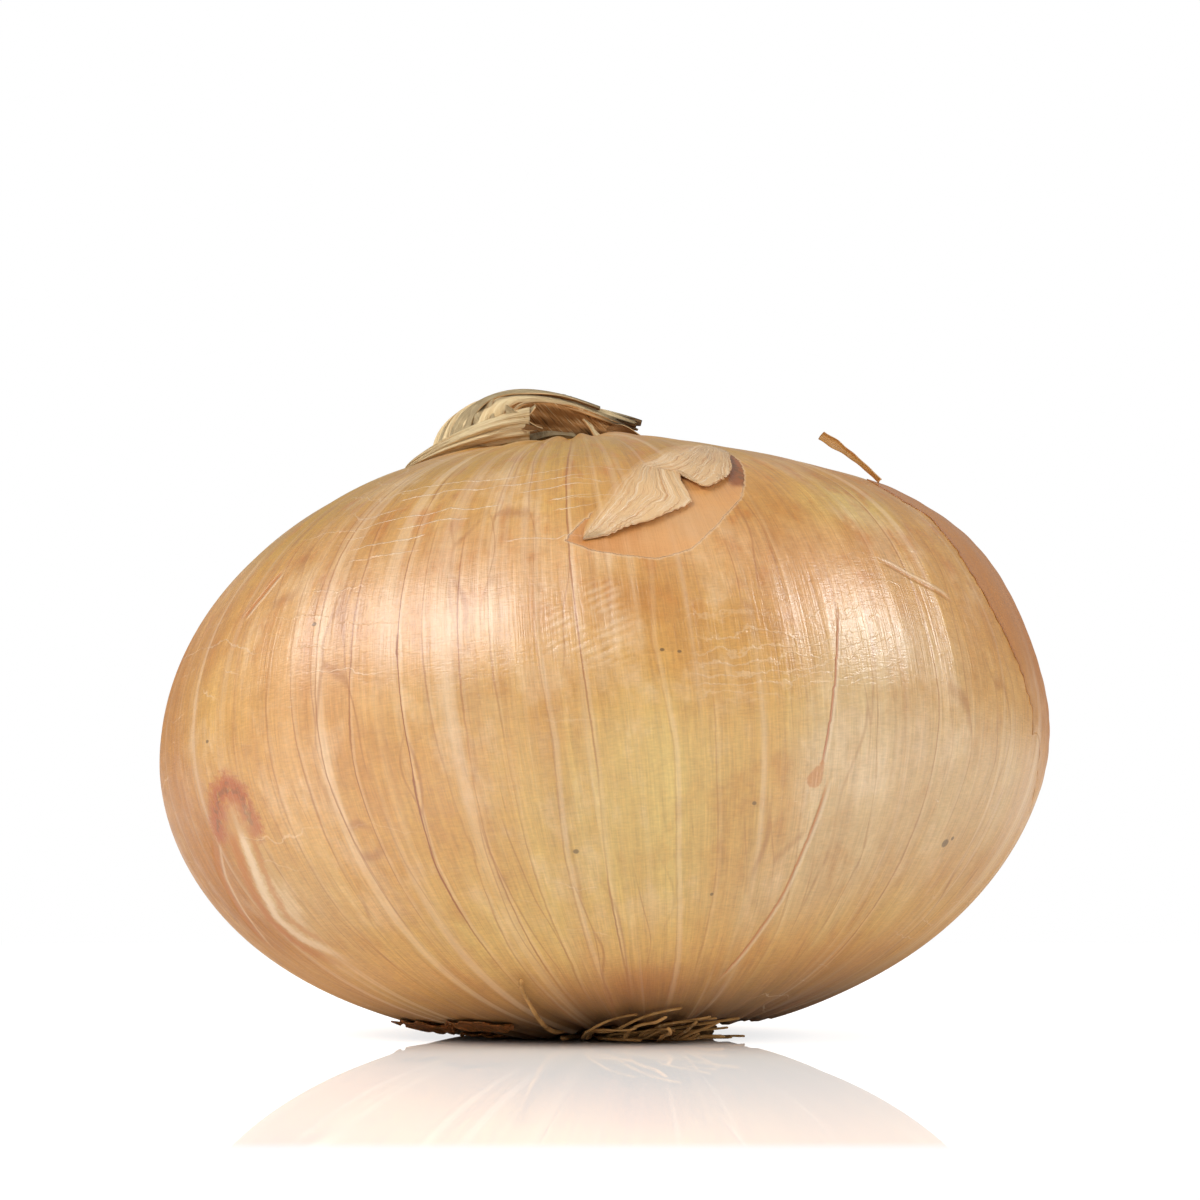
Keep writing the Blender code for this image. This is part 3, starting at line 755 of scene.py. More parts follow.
def add_marks(graph, skin, wrap, base, height):
    """The window, bruise, splits, scar, stain and crease, from their distances on the mesh."""
    jag = (graph.noise(wrap, 1.3, 3.0, 0.6) - 0.5) * 0.9
    fray = (graph.noise(wrap, 3.5, 3.0, 0.6) - 0.5) * 0.35

    window = graph.attribute("window") + jag * 0.4 + fray
    inside = window.step(0.0, 0.12)
    rim = window.line(0.05, 0.2)
    smooth = graph.noise(wrap, 0.12, 2.0)
    inner = graph.mix(smooth.step(0.38, 0.6), skin.window, skin.blush)
    inner = graph.mix(graph.attribute("longitude").step(12.0, -3.0) * 0.7, inner, skin.orange)
    base = graph.mix(inside * 0.72, base, inner)
    base = graph.mix(rim * 0.25, base, skin.pale)
    height = height - inside * 0.15

    bruise = graph.attribute("bruise") + jag * 1.2
    along = graph.attribute("bruise_along")
    blot = bruise.line(1.0, 0.9) * (inside * along.step(1.02, 0.85))
    base = graph.mix(blot * 0.95, base, skin.rust)
    base = graph.mix(blot * 0.4, base, skin.brown)
    base = graph.mix(bruise.line(0.1, 0.3) * blot * 0.5, base, skin.speck)

    for key, half, soft, strength, tint, ends in (
            ("split", 0.06, 0.13, 0.95, skin.rust, (0.03, 0.95)),
            ("tear", 0.06, 0.20, 0.8, skin.orange, (0, 0.97)),
            ("scar_line", 0.3, 0.7, 0.55, skin.orange, (0, 1)),
            ("crease", 0.1, 0.3, 0.4, skin.orange, (0, 1)),
            ("nick", 0.22, 0.35, 0.7, skin.orange, (0, 1))):
        along = graph.attribute(key + "_along")
        taper = along.step(ends[0] - 0.02, ends[0] + 0.12) * along.step(ends[1] + 0.02, ends[1] - 0.12)
        distance = graph.attribute(key) + fray * 0.2
        line = distance.line(half, soft) * taper
        lip = (distance - half - soft).line(0.10, 0.25) * taper
        base = graph.mix(line * strength, base, tint)
        base = graph.mix(lip * 0.3, base, skin.pale)
        height = height - line * 0.10 + lip * 0.05

    thorn = (graph.attribute("thorn") - graph.attribute("thorn_along") * 0.8).step(0.0, 0.18, 1.0, 0.0)
    base = graph.mix(thorn * 0.55, base, skin.orange)
    stain = graph.attribute("stain") + jag * 2.8 + fray * 1.5
    patchy = graph.noise(graph.stretch(wrap, (1, 1, 0.5)), 0.9, 3.0, 0.6).step(0.25, 0.48)
    spot = stain.line(0.6, 1.6) * patchy
    base = graph.mix(spot, base, skin.rust)
    base = graph.mix(stain.line(0.0, 0.6) * 0.5, base, skin.brown)
    scar = graph.attribute("scar") + fray * 1.6 + jag * 0.7
    along = graph.attribute("scar_along")
    taper = along.step(-0.02, 0.08) * along.step(1.02, 0.6)
    streak = scar.line(0.2, 0.75) * taper
    around = graph.attribute("scar_near").line(1.2, 3.0) * (0.3 + 0.7 * along.step(1.0, 0.5))
    base = graph.mix(around * 0.30, base, skin.rosy)
    base = graph.mix((scar + 1.8 + jag).line(0.2, 1.3) * taper * 0.75, base, skin.orange)
    base = graph.mix((scar - 1.5 + jag * 0.7).line(0.1, 0.7) * taper * 0.5, base, skin.orange)
    base = graph.mix(streak * 0.5, base, skin.pale)
    height = height + streak * 0.06 - spot * 0.06
    return base, height


def neck_material(name, dry):
    """Dried sheath: long fibres, pale ridges, folds darkened with painted shade, a red-brown lining inside,
    and painted shade in the neck's mouth.
    """
    graph = Graph(name)
    uv = graph.make("UVMap", {"uv_map": "skin_uv"}, {})
    fibre = graph.noise(graph.stretch(uv, (60, 2.2, 1)), 1.0, 4.0, 0.6)
    hair = graph.noise(graph.stretch(uv, (220, 5.0, 1)), 1.0, 2.0, 0.5)
    here = graph.make("TexCoord", {}, {}, 3)
    patch = graph.noise(here, 260.0, 3.0, 0.6)
    folds = graph.attribute("fold")
    inside = graph.attribute("inside").most(graph.attribute("lining"))
    outer = graph.mix(fibre.step(0.56, 0.36) * 0.5 + patch.step(0.5, 0.7) * 0.3, dry.sheath, dry.sheath_dark)
    # Pleat hollows darkened towards the lining colour: painted shade in the folds.
    outer = graph.mix(folds.step(-0.3, -1.4) * 0.35, outer, dry.lining)
    lining = graph.mix(fibre.step(0.48, 0.30) * 0.7, dry.lining, dry.hollow)
    lining = graph.mix(fibre.step(0.54, 0.70) * 0.7, lining, dry.sheath)
    base = graph.mix(inside.step(0.2, 0.8), outer, lining)
    base = graph.mix(graph.attribute("hem"), base, dry.collar)
    # Darkened towards the hollow colour: painted shade on the mouth's floor and at the curtain's foot, and
    # darker torn ends of the hood, back wall, ribbons and strands.
    base = graph.mix(graph.attribute("wear_and_shade") * 0.85, base, dry.hollow)
    height = (fibre - 0.5) * 0.45 + (hair - 0.5) * 0.12 + (patch - 0.5) * 0.1
    return graph.finish(base, 0.72, height, {"Specular IOR Level": 0.25})


def root_material(name, dry):
    """Dry root: fibrous and dirty, darker towards the plate."""
    graph = Graph(name)
    here = graph.make("TexCoord", {}, {}, 3)
    grit = graph.noise(here, 1400.0, 3.0, 0.6)
    patch = graph.noise(here, 300.0, 2.0, 0.5)
    along = graph.attribute("lengthways")
    base = graph.mix(patch.step(0.42, 0.75) * 0.8, dry.root, dry.root_dark)
    base = graph.mix(along.step(0.5, 0.0) * 0.5, base, dry.root_dark)
    base = graph.mix(grit.step(0.55, 0.75) * 0.4, base, dry.sheath)
    return graph.finish(base, 0.85, (grit - 0.5) * 0.2 + (patch - 0.5) * 0.2, {"Specular IOR Level": 0.2})


def scrap_material(name, dry, skin):
    """Brown flake of dry skin, streaked along its length."""
    graph = Graph(name)
    uv = graph.make("UVMap", {"uv_map": "skin_uv"}, {})
    streak = graph.noise(graph.stretch(uv, (3, 26, 1)), 1.0, 3.0, 0.6)
    base = graph.mix(streak.step(0.35, 0.65), dry.scrap, skin.brown)
    base = graph.mix(streak.step(0.62, 0.75) * 0.5, base, dry.root_dark)
    return graph.finish(base, 0.6, (streak - 0.5) * 0.3, {"Specular IOR Level": 0.35})


# ---------------------------------------------------------------- the pieces

def relief(polar, longitude):
    """Height of the skin over the plain form: broad lumps, ridges along the meridians, puckers at
    the foot and the neck, and the window sunk by one skin's thickness."""
    turned = np.radians(longitude)
    middle = np.sin(np.radians(polar)) ** 0.5
    lumps = 0.16 * np.sin(3 * turned + 0.035 * polar) + 0.12 * np.sin(5 * turned - 0.05 * polar + 1.0)
    ridges = (0.045 * np.sin(23 * turned + 0.4 * np.sin(polar / 17))
              + 0.04 * np.sin(37 * turned + 0.6 * np.sin(polar / 23) + 2.0)
              + 0.03 * np.sin(58 * turned + 0.5 * np.sin(polar / 13) + 4.0))
    foot = bell(polar, 168, 11) * (0.25 * np.sin(31 * turned) + 0.15 * np.sin(47 * turned + 1.3))
    crown = bell(polar, 12, 9) * (0.22 * np.sin(26 * turned) + 0.14 * np.sin(41 * turned + 0.7))
    return (lumps + ridges * middle + foot + crown) * MM


def rest_on_floor(shape, points):
    """Flatten what would be under the floor, and open the hollow round the root plate."""
    centre = on_bulb(shape, 179.9, 0.0)[:2] + np.array(HOLLOW_SHIFT)
    reach = np.hypot(points[:, 0] - centre[0], points[:, 1] - centre[1])
    slope = HOLLOW_HEIGHT / (HOLLOW_RIM - HOLLOW_ROOF)
    ceiling = np.clip((HOLLOW_RIM - reach) * slope, 0.0, HOLLOW_HEIGHT)
    points[:, 2] = np.maximum(points[:, 2], ceiling)
    return points


def build_bulb(shape, skin):
    """The closed skin: a grid over polar angle and longitude with its two poles closed by fans."""
    rows, columns = shape.rows, shape.columns
    polar_line = 180 * np.arange(1, rows) / rows
    long_line = -180 + 360 * np.arange(columns) / columns
    polar, longitude = [a.reshape(-1) for a in np.meshgrid(polar_line, long_line, indexing="ij")]
    polar = np.concatenate([polar, [0.05, 179.95]])
    longitude = np.concatenate([longitude, [0.0, 0.0]])
    points = on_bulb(shape, polar, longitude)
    marks = mark_fields(shape, points, polar, longitude)
    rise = relief(polar, longitude) - 0.22 * MM * smooth_step(0.0, 0.8, marks["window"])
    rise += 0.07 * MM * bell(marks["scar"], 0, 1.2) - 0.10 * MM * bell(marks["stain"], 0, 2.0)
    points = rest_on_floor(shape, on_bulb(shape, polar, longitude, rise))
    quads = grid_faces(rows - 1, columns, closed=True)
    uv = grid_uv(rows - 1, columns, closed=True)
    uv[..., 1] = (1 + uv[..., 1] * (rows - 2)) / rows
    ring = np.arange(columns)
    beside = (ring + 1) % columns
    north, south = (rows - 1) * columns, (rows - 1) * columns + 1
    last = (rows - 2) * columns
    top = np.stack([np.full(columns, north), ring, beside], axis=-1)
    bottom = np.stack([np.full(columns, south), last + beside, last + ring], axis=-1)
    left, right = ring / columns, (ring + 1) / columns
    top_uv = np.stack([np.stack([left, 0 * left], -1), np.stack([left, 0 * left + 1 / rows], -1),
                       np.stack([right, 0 * left + 1 / rows], -1)], axis=1)
    bottom_uv = np.stack([np.stack([left, 0 * left + 1], -1), np.stack([right, 0 * left + 1 - 1 / rows], -1),
                          np.stack([left, 0 * left + 1 - 1 / rows], -1)], axis=1)
    fields = {**skin_fields(polar, longitude), **marks}
    return new_piece("bulb_skin", points, [quads, top, bottom], [uv, top_uv, bottom_uv], fields,
                     skin_material("bulb_skin", skin), ("bulb",))


# The torn edge of the loose skin and the line it hinges on, as longitude and polar angle.
FLAP_EDGE = ((-0.8, 61), (1.2, 60.6), (3, 60.4), (4.4, 59.4), (8, 58.2), (11, 56.4), (14.8, 53.8), (14.8, 51),
             (14.7, 48.3), (15.2, 45.4), (16.3, 47.5), (16.9, 50.2), (18, 50.5), (20, 49.2), (22.5, 47.2),
             (24.6, 44.6), (25.9, 42), (27.4, 39.4), (29.8, 36), (31.5, 33))
FLAP_HINGE = ((-1.0, 60.8), (-0.6, 58), (0.4, 54.5), (2.6, 49), (4.8, 45.5), (7.5, 42), (12, 36.5), (18, 32),
              (24, 29.5), (31, 29))


def along_line(line, share):
    """Place at a share of a line's length, for a line of (longitude, polar angle) pairs."""
    line = np.array(line, float)
    reach = np.concatenate([[0.0], np.cumsum(np.hypot(*np.diff(line, axis=0).T))])
    return [np.interp(share * reach[-1], reach, line[:, k]) for k in (0, 1)]


def build_flap(shape, skin):
    """The loose skin over the window: a sheet ruled from its hinge to its torn and notched edge,
    flush with the skin at the hinge and lifting towards the edge."""
    rows, columns = 70, 300
    v, u = np.meshgrid(np.linspace(0, 1, rows), np.linspace(0, 1, columns), indexing="ij")
    edge_long, edge_polar = along_line(FLAP_EDGE, u)
    hinge_long, hinge_polar = along_line(FLAP_HINGE, u)
    ragged = waves(u * 60, 9, 0.8, 6.0, 4) * smooth_step(0.0, 0.1, u)
    longitude = hinge_long + (edge_long - hinge_long) * v + 0.05 * ragged * v ** 3
    polar = hinge_polar + (edge_polar - hinge_polar) * v + 0.16 * ragged * v ** 3
    free = smooth_step(0.0, 0.12, u) * smooth_step(1.0, 0.8, u)
    lift = -0.14 + 0.20 * smooth_step(0.0, 0.12, v) + (0.34 * v ** 3 + 0.08 * v ** 2 * np.sin(14 * u)) * free
    across = v * (6.0 + 8.0 * u)
    lift += 0.035 * free * smooth_step(0.05, 0.3, v) * waves(across + 2 * u, 7, 1.2, 5.0, 8)
    points = on_bulb(shape, polar, longitude, lift * MM + relief(polar, longitude))
    fields = {**skin_fields(polar, longitude), "creases": across, "edge": smooth_step(0.03, 0.35, v)}
    return shell("torn_flap", points, 0.10 * MM, fields,
                 skin_material("torn_flap", skin, marks=False, creased=True), ("skin_flap",),
                 bulb_normal(shape, polar, longitude))


def build_remnant(shape, skin):
    """The oldest skin, left on the right shoulder: a sheet between a torn left edge and a wandering
    right one, its lower hem in waves. Its age fades to the right and downwards, and so does its lift."""
    rows, columns = 150, 130
    v, u = np.meshgrid(np.linspace(0, 1, rows), np.linspace(0, 1, columns), indexing="ij")
    polar = 40.5 + 64.0 * v
    left = np.interp(polar, (40, 45, 50, 54, 60, 69, 77, 86, 94, 104, 112),
                     (65, 59, 58.3, 61, 59.6, 60, 63, 66, 68, 79, 92))
    left = left + 0.35 * waves(polar, 8, 0.5, 3.5, 11)
    right = 150 + 8 * np.sin(polar / 9) + 1.2 * waves(polar, 7, 0.5, 3.0, 12) - 30 * bell(polar, 104, 12)
    longitude = left + (right - left) * u
    polar = polar + 1.2 * waves(longitude, 7, 0.2, 1.2, 13) * (bell(v, 0, 0.06) + bell(v, 1, 0.08))
    hem = 9 * np.sin(longitude / 11 + 1.0) + 5 * waves(longitude, 6, 0.12, 0.5, 15)
    polar = polar + hem * smooth_step(0.35, 1.0, v)
    border = np.minimum(np.minimum(u, 1 - u) * 60, np.minimum(v, 1 - v) * 48)
    fading = u + 0.06 * waves(polar, 5, 0.1, 0.4, 17)
    age = (1 - smooth_step(0.10, 0.75, fading)) * (1 - smooth_step(0.5, 0.98, v))
    lift = 0.06 + 0.08 * age - 0.05 * bell(border, 0, 1.5) + 0.02 * waves(polar + longitude, 6, 0.3, 1.5, 14)
    points = on_bulb(shape, polar, longitude, lift * MM + relief(polar, longitude))
    fields = {**skin_fields(polar, longitude), "edge": border, "age": age}
    return shell("old_skin", points, 0.07 * MM, fields,
                 skin_material("old_skin", skin, marks=False, aged=0.8), (),
                 bulb_normal(shape, polar, longitude))


def build_sliver(shape, skin):
    """A narrow curl of the old skin's edge that stands up off the shoulder and widens to its end."""
    rows, columns = 60, 14
    v, u = np.meshgrid(np.linspace(0, 1, rows), np.linspace(0, 1, columns), indexing="ij")
    low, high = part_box("skin_sliver")
    tip = np.array([low.x + 0.2 * MM, (low.y + high.y) / 2, high.z - 0.1 * MM])
    foot = on_bulb(shape, 42.6, 64.0, 0.15 * MM)
    path = foot + (tip - foot) * v[..., None]
    path = path + np.array([0.5, 0.0, 0.75]) * MM * (np.sin(math.pi * v) * 0.3)[..., None]
    half = (0.30 + 0.30 * smooth_step(0.1, 0.9, v) + 0.10 * waves(v * 9, 5, 0.8, 3.0, 21)) * MM
    across = np.array([0.50, -0.35, 0.62])
    bowl = np.array([0.2, -0.9, -0.3]) * MM * 0.25
    side = 2 * u - 1
    points = path + across * (side * half)[..., None] + bowl * (side ** 2 * 0.8)[..., None]
    polar, longitude = 42 + 0 * v, 64 + 6 * u
    fields = {**skin_fields(polar + 20 * v, longitude), "edge": 3 + 0 * v, "age": 1 + 0 * v}
    return shell("skin_curl", points, 0.12 * MM, fields,
                 skin_material("skin_curl", skin, marks=False, aged=0.05), ("skin_sliver",))


def neck_point(shape, right, back, lift):
    """Point of the neck in millimetres from the neck pole."""
    return over_crown(shape, right * MM, back * MM, lift * MM)


RING = (-5.3, 0.4, 9.9, 7.2)       # middle (right, back) and half widths of the neck's foot


def ring_place(angle, scale=1.0):
    """Place on the oval of the neck's foot, made larger or smaller by the scale."""
    right, back, across, deep = RING
    return right + across * scale * np.cos(angle), back + deep * scale * np.sin(angle)


def bezier(share, *posts):
    """Cubic curve through four posts, by the usual weights."""
    rest = 1 - share
    weights = (rest ** 3, 3 * rest ** 2 * share, 3 * rest * share ** 2, share ** 3)
    return sum(weight * post for weight, post in zip(weights, posts))


def hood_place(shape, share, side):
    """Point of the hood without its pleats. Each fibre is a cubic curve from its place on the ring,
    up, over the top and down to the right; side runs from -1 at the back to 1 in front."""
    angle = np.radians(180 + np.where(side > 0, 80, 100) * side)
    right0, back0 = ring_place(angle)
    low = side ** 2
    right = bezier(share, right0, right0 - 0.9 + 0.6 * low, -9.0 + 1.6 * low, 7.2 - 1.2 * low)
    back = bezier(share, back0, back0 * 1.02, back0 * 0.80 + 0.5, 0.9 - 4.4 * side + 0.4 * low)
    up = bezier(share, 0.1, 7.3 - 1.6 * low, 7.4 - 0.6 * low, 3.4 - 1.5 * low)
    return neck_point(shape, right, back, up)


def hood_outward(points):
    """Unit normals of a grid over the neck, turned away from a point under its middle."""
    normals = surface_normals(points)
    middle = points.reshape(-1, 3).mean(axis=0) - np.array([0.0, 0.0, 3.0 * MM])
    return normals * np.sign((normals * (points - middle)).sum())


def build_hood(shape, material):
    """The sheath that rises from the left of the ring, folds over and lies to the right, pleated
    unevenly along its fibres and ragged at its end."""
    rows, columns = 120, 240
    s, t = np.meshgrid(np.linspace(0, 1, rows), np.linspace(-1, 1, columns), indexing="ij")
    share = s * (1.0 - 0.05 * np.abs(waves(t * 9, 6, 1.0, 4.0, 31)))
    points = hood_place(shape, share, t)
    normals = hood_outward(points)
    warped = t + 0.10 * waves(t * 4, 3, 0.8, 2.0, 32) + 0.05 * np.sin(5 * s + 2)
    pleat = (np.cos(17 * warped) + 0.6 * np.cos(31 * warped - 3 * s + 1.0)
             + 0.5 * waves(t * 20 + 2 * s, 6, 0.6, 2.0, 34))
    depth = 0.34 * (1 - share) ** 0.8 * smooth_step(0.0, 0.12, share) + 0.10
    crumple = 0.25 * waves(s * 7 + t * 3, 6, 0.6, 2.0, 36) * waves(t * 8 - s * 2, 5, 0.6, 2.0, 37)
    points = points + normals * ((pleat * depth + crumple * np.sin(math.pi * s)) * MM)[..., None]
    wear_and_shade = smooth_step(0.90, 1.0, s + 0.05 * waves(t * 12, 5, 1, 3, 35))
    return shell("neck_hood", points, 0.28 * MM, {"fold": pleat, "wear_and_shade": wear_and_shade}, material,
                 ("neck_roof",), normals)


RIBBONS = (   # side of the hood, drift along it, half width, start, end, lift in millimetres
    (0.86, -0.42, 0.13, 0.00, 0.80, 0.30), (0.50, 0.34, 0.12, 0.02, 0.90, 0.45),
    (0.16, -0.20, 0.14, 0.00, 0.72, 0.25), (-0.25, 0.30, 0.12, 0.03, 0.80, 0.35),
    (-0.65, -0.20, 0.13, 0.00, 0.76, 0.25))


def build_ribbons(shape, material):
    """Split leaves folded down over the hood: strips that cross it at a slant and curl at their edges."""
    for number, (place, drift, half, start, end, raised) in enumerate(RIBBONS, start=1):
        s, side = np.meshgrid(np.linspace(0, 1, 70), np.linspace(-1, 1, 15), indexing="ij")
        share = start + (end - start) * s
        width = half * (1 - 0.75 * s ** 2) * (1 + 0.15 * waves(s * 8, 5, 0.8, 2.5, 80 + number))
        across = np.clip(place + drift * s + 0.03 * np.sin(7 * s + number) + width * side, -0.99, 0.99)
        points = hood_place(shape, share, across)
        normals = hood_outward(hood_place(shape, share, np.clip(place + 0.12 * side, -0.99, 0.99)))
        lift = raised + 0.12 * side ** 2 + 0.12 * waves(s * 9 + side, 5, 0.7, 2.2, 90 + number)
        lift += 0.12 * np.cos(5 * side + 4 * s + number)
        points = points + normals * (lift * MM * smooth_step(-0.05, 0.12, s))[..., None]
        fold = np.cos(4 * side + number) + 0.6 * waves(side * 6, 4, 0.6, 2.0, 95 + number)
        fields = {"fold": fold, "wear_and_shade": 0.5 * smooth_step(0.9, 1, s)}
        shell(f"neck_ribbon_{number}", points, 0.16 * MM, fields, material, (), normals)


def build_curtain(shape, material):
    """The brown inner leaves seen under the hood: a wrinkled wall hung from the hood's front edge
    that leans back to a gap at its foot, darkened there with painted shade."""
    rows, columns = 50, 170
    v, u = np.meshgrid(np.linspace(0, 1, rows), np.linspace(0, 1, columns), indexing="ij")
    top = hood_place(shape, 0.22 + 0.74 * u, 0.95 + 0 * u) - np.array([0.0, 0.0, 0.35]) * MM
    foot = neck_point(shape, -7.4 + 13.4 * u, -2.4 - 0.8 * u, 0.15 + 0 * u)
    points = foot + (top - foot) * v[..., None]
    folds = np.cos(9 * v + 3.0 * np.sin(4 * u)) + 0.8 * waves(v * 9 + u * 5, 6, 0.7, 2.2, 61)
    sag = 0.9 * np.sin(math.pi * v) * (1 - 0.5 * u)
    points = points + np.array([0.0, 1.0, 0.0]) * ((sag + 0.22 * folds) * MM)[..., None]
    forward = np.broadcast_to(np.array([0.0, -1.0, 0.2]), points.shape)
    # The dark at the wall's foot is painted shade in the gap under the hood.
    return shell("neck_curtain", points, 0.3 * MM, {"fold": folds, "lining": 1 + 0 * v,
                 "wear_and_shade": smooth_step(0.55, 0.12, v + 0.06 * folds)}, material, (), forward)


def build_back_wall(shape, material):
    """The sheath behind the mouth: it rises from the back and right of the ring and leans inwards,
    its upper edge ragged."""
    rows, columns = 50, 160
    s, t = np.meshgrid(np.linspace(0, 1, rows), np.linspace(0, 1, columns), indexing="ij")
    angle = np.radians(-38 + 152 * t)
    ragged = 1.0 + 0.10 * waves(t * 14, 7, 0.8, 3.5, 41)
    height = (3.4 + 1.3 * np.sin(math.pi * np.clip(t * 0.9 + 0.1, 0, 1))) * ragged
    right0, back0 = ring_place(angle, 0.96)
    lean = s ** 1.6
    right = right0 - 0.30 * (right0 - RING[0]) * lean
    back = back0 - 0.26 * (back0 - RING[1]) * lean
    pleat = np.cos(46 * t + 2 * s) + 0.7 * waves(t * 22, 6, 0.6, 2.0, 42)
    points = neck_point(shape, right, back, 0.1 + height * s)
    outward = np.stack([right0 - RING[0], back0 - RING[1], 0 * s], axis=-1)
    outward = outward / np.linalg.norm(outward, axis=-1, keepdims=True)
    points = points + outward * (pleat * 0.16 * (0.4 + s) * MM)[..., None]
    wear_and_shade = smooth_step(0.80, 1.0, s + 0.08 * waves(t * 16, 5, 1, 3, 43)) * 0.8
    return shell("neck_back", points, 0.30 * MM, {"fold": pleat, "wear_and_shade": wear_and_shade}, material,
                 (), outward)


def build_toe(shape, material):
    """A flattened dry leaf stub at the hood's foot that lies along the crown to the left and ends in
    a point. Its section is a flat oval, creased along its length, that shrinks towards the tip."""
    rows, columns = 80, 100
    s, angle = np.meshgrid(np.linspace(0, 1, rows), np.linspace(0, 2 * math.pi, columns), indexing="ij")
    taper = np.sqrt(np.maximum(1 - s ** 2.2, 0.0)) * 0.96 + 0.04
    half_width = 3.9 * taper * smooth_step(-0.15, 0.25, s)
    half_height = 1.75 * (taper * (1 - 0.45 * s)) ** 0.9 + 0.08
    crease = 1 + 0.06 * np.sin(9 * angle + 3 * s) + 0.05 * np.sin(14 * angle - 5 * s)
    right = -5.0 - 14.0 * s
    back = -6.6 + 3.4 * s ** 1.3 + half_width * np.cos(angle) * crease
    lift = 0.12 + half_height + half_height * np.sin(angle) * crease
    points = neck_point(shape, right, back, np.maximum(lift, 0.12))
    points[:, -1] = points[:, 0]
    fold = np.sin(9 * angle + 3 * s)
    outward = surface_normals(points)
    middle = points.mean(axis=1, keepdims=True)
    outward = outward * np.sign((outward * (points - middle)).sum())
    return shell("neck_toe", points, 0.2 * MM, {"fold": fold, "wear_and_shade": 0 * s}, material,
                 ("neck_tail",), outward)


def build_stump(shape, material):
    """The floor of the neck's mouth: a low uneven mound with rings where inner sheaths broke off, darkened
    all over with painted shade.
    """
    rows, columns = 40, 120
    s, t = np.meshgrid(np.linspace(0, 1, rows), np.linspace(0, 1, columns), indexing="ij")
    angle = 2 * math.pi * t
    radius = 0.05 + 0.86 * s
    right, back = ring_place(angle, radius)
    rings = np.sin(22 * s + 1.5 * np.sin(2 * angle)) + 0.4 * np.sin(9 * angle)
    lift = 1.2 + 0.35 * rings * s - 0.9 * s ** 6
    points = neck_point(shape, right, back, lift)
    points[:, -1] = points[:, 0]
    up = np.broadcast_to(np.array([0.0, 0.0, 1.0]), points.shape)
    # Painted shade darkens the whole floor of the mouth.
    return shell("neck_stump_floor", points, 0.5 * MM, {"fold": rings, "wear_and_shade": 0 * s + 0.8}, material,
                 ("neck_stump",), up)


def build_collar(shape, material):
    """The skin gathered round the neck's foot: a low pleated skirt from the crown up to the ring,
    higher behind. Its hem takes the skin's colour, so that it joins the bulb."""
    rows, columns = 30, 300
    s, t = np.meshgrid(np.linspace(0, 1, rows), np.linspace(0, 1, columns), indexing="ij")
    angle = 2 * math.pi * t
    ragged = 0.10 * waves(np.cos(angle) * 6, 5, 0.8, 3, 51) + 0.08 * waves(np.sin(angle) * 7, 5, 0.8, 3, 52)
    scale = 1.24 + 1.3 * ragged * (1 - s) - 0.30 * s
    right, back = ring_place(angle, scale)
    pleat = np.cos(44 * angle + 2.0 * s) + 0.6 * np.cos(29 * angle + 1.0)
    behind = smooth_step(-0.35, 0.25, np.sin(angle))
    lift = 0.07 + (0.10 + 1.2 * behind) * s ** 1.8 + 0.10 * pleat * s * (0.3 + behind)
    points = neck_point(shape, right, back, lift)
    points[:, -1] = points[:, 0]
    up = np.broadcast_to(np.array([0.0, 0.0, 1.0]), points.shape)
    return shell("neck_collar", points, 0.12 * MM, {"fold": pleat, "wear_and_shade": 0 * s,
                 "hem": 1 - smooth_step(0.25, 1.0, s + 0.1 * pleat)}, material, (), up)


STRANDS = (   # posts in millimetres from the neck pole, half width, and the node each stands for
    (((-7.6, -7.2, 3.6), (-6.6, -7.6, 2.8), (-5.2, -7.4, 1.9), (-3.6, -7.2, 1.4)), 0.75, "neck_strip_1"),
    (((-9.0, -7.6, 2.2), (-7.8, -8.2, 2.6), (-6.4, -8.0, 1.6), (-4.2, -8.4, 1.2)), 0.6, "neck_strip_2"),
    (((-4.4, -6.6, 3.9), (-5.4, -7.4, 2.8), (-6.2, -7.9, 2.4), (-7.4, -8.0, 1.5)), 0.45, None),
    (((3.4, -4.6, 0.8), (4.6, -4.8, 1.6), (6.0, -4.2, 1.5), (7.6, -3.4, 0.7)), 0.7, None))


def build_strands(shape, material):
    """Torn ribbons of sheath across the mouth: each a twisted strip along a cubic curve."""
    for number, (posts, half, node) in enumerate(STRANDS, start=1):
        s, t = np.meshgrid(np.linspace(0, 1, 40), np.linspace(-1, 1, 9), indexing="ij")
        path = bezier(s[..., None], *np.array(posts))
        spin = 0.5 + 2.2 * s + number
        width = half * (1 - 0.6 * s ** 3) * t
        right = path[..., 0]
        back = path[..., 1] + width * np.cos(spin)
        lift = np.maximum(path[..., 2] + width * np.sin(spin) + 0.15 * t ** 2, 0.3)
        points = neck_point(shape, right, back, lift)
        shell(f"neck_strand_{number}", points, 0.14 * MM, {"fold": np.cos(5 * t), "wear_and_shade": 0.3 * s},
              material, (node,) if node else ())


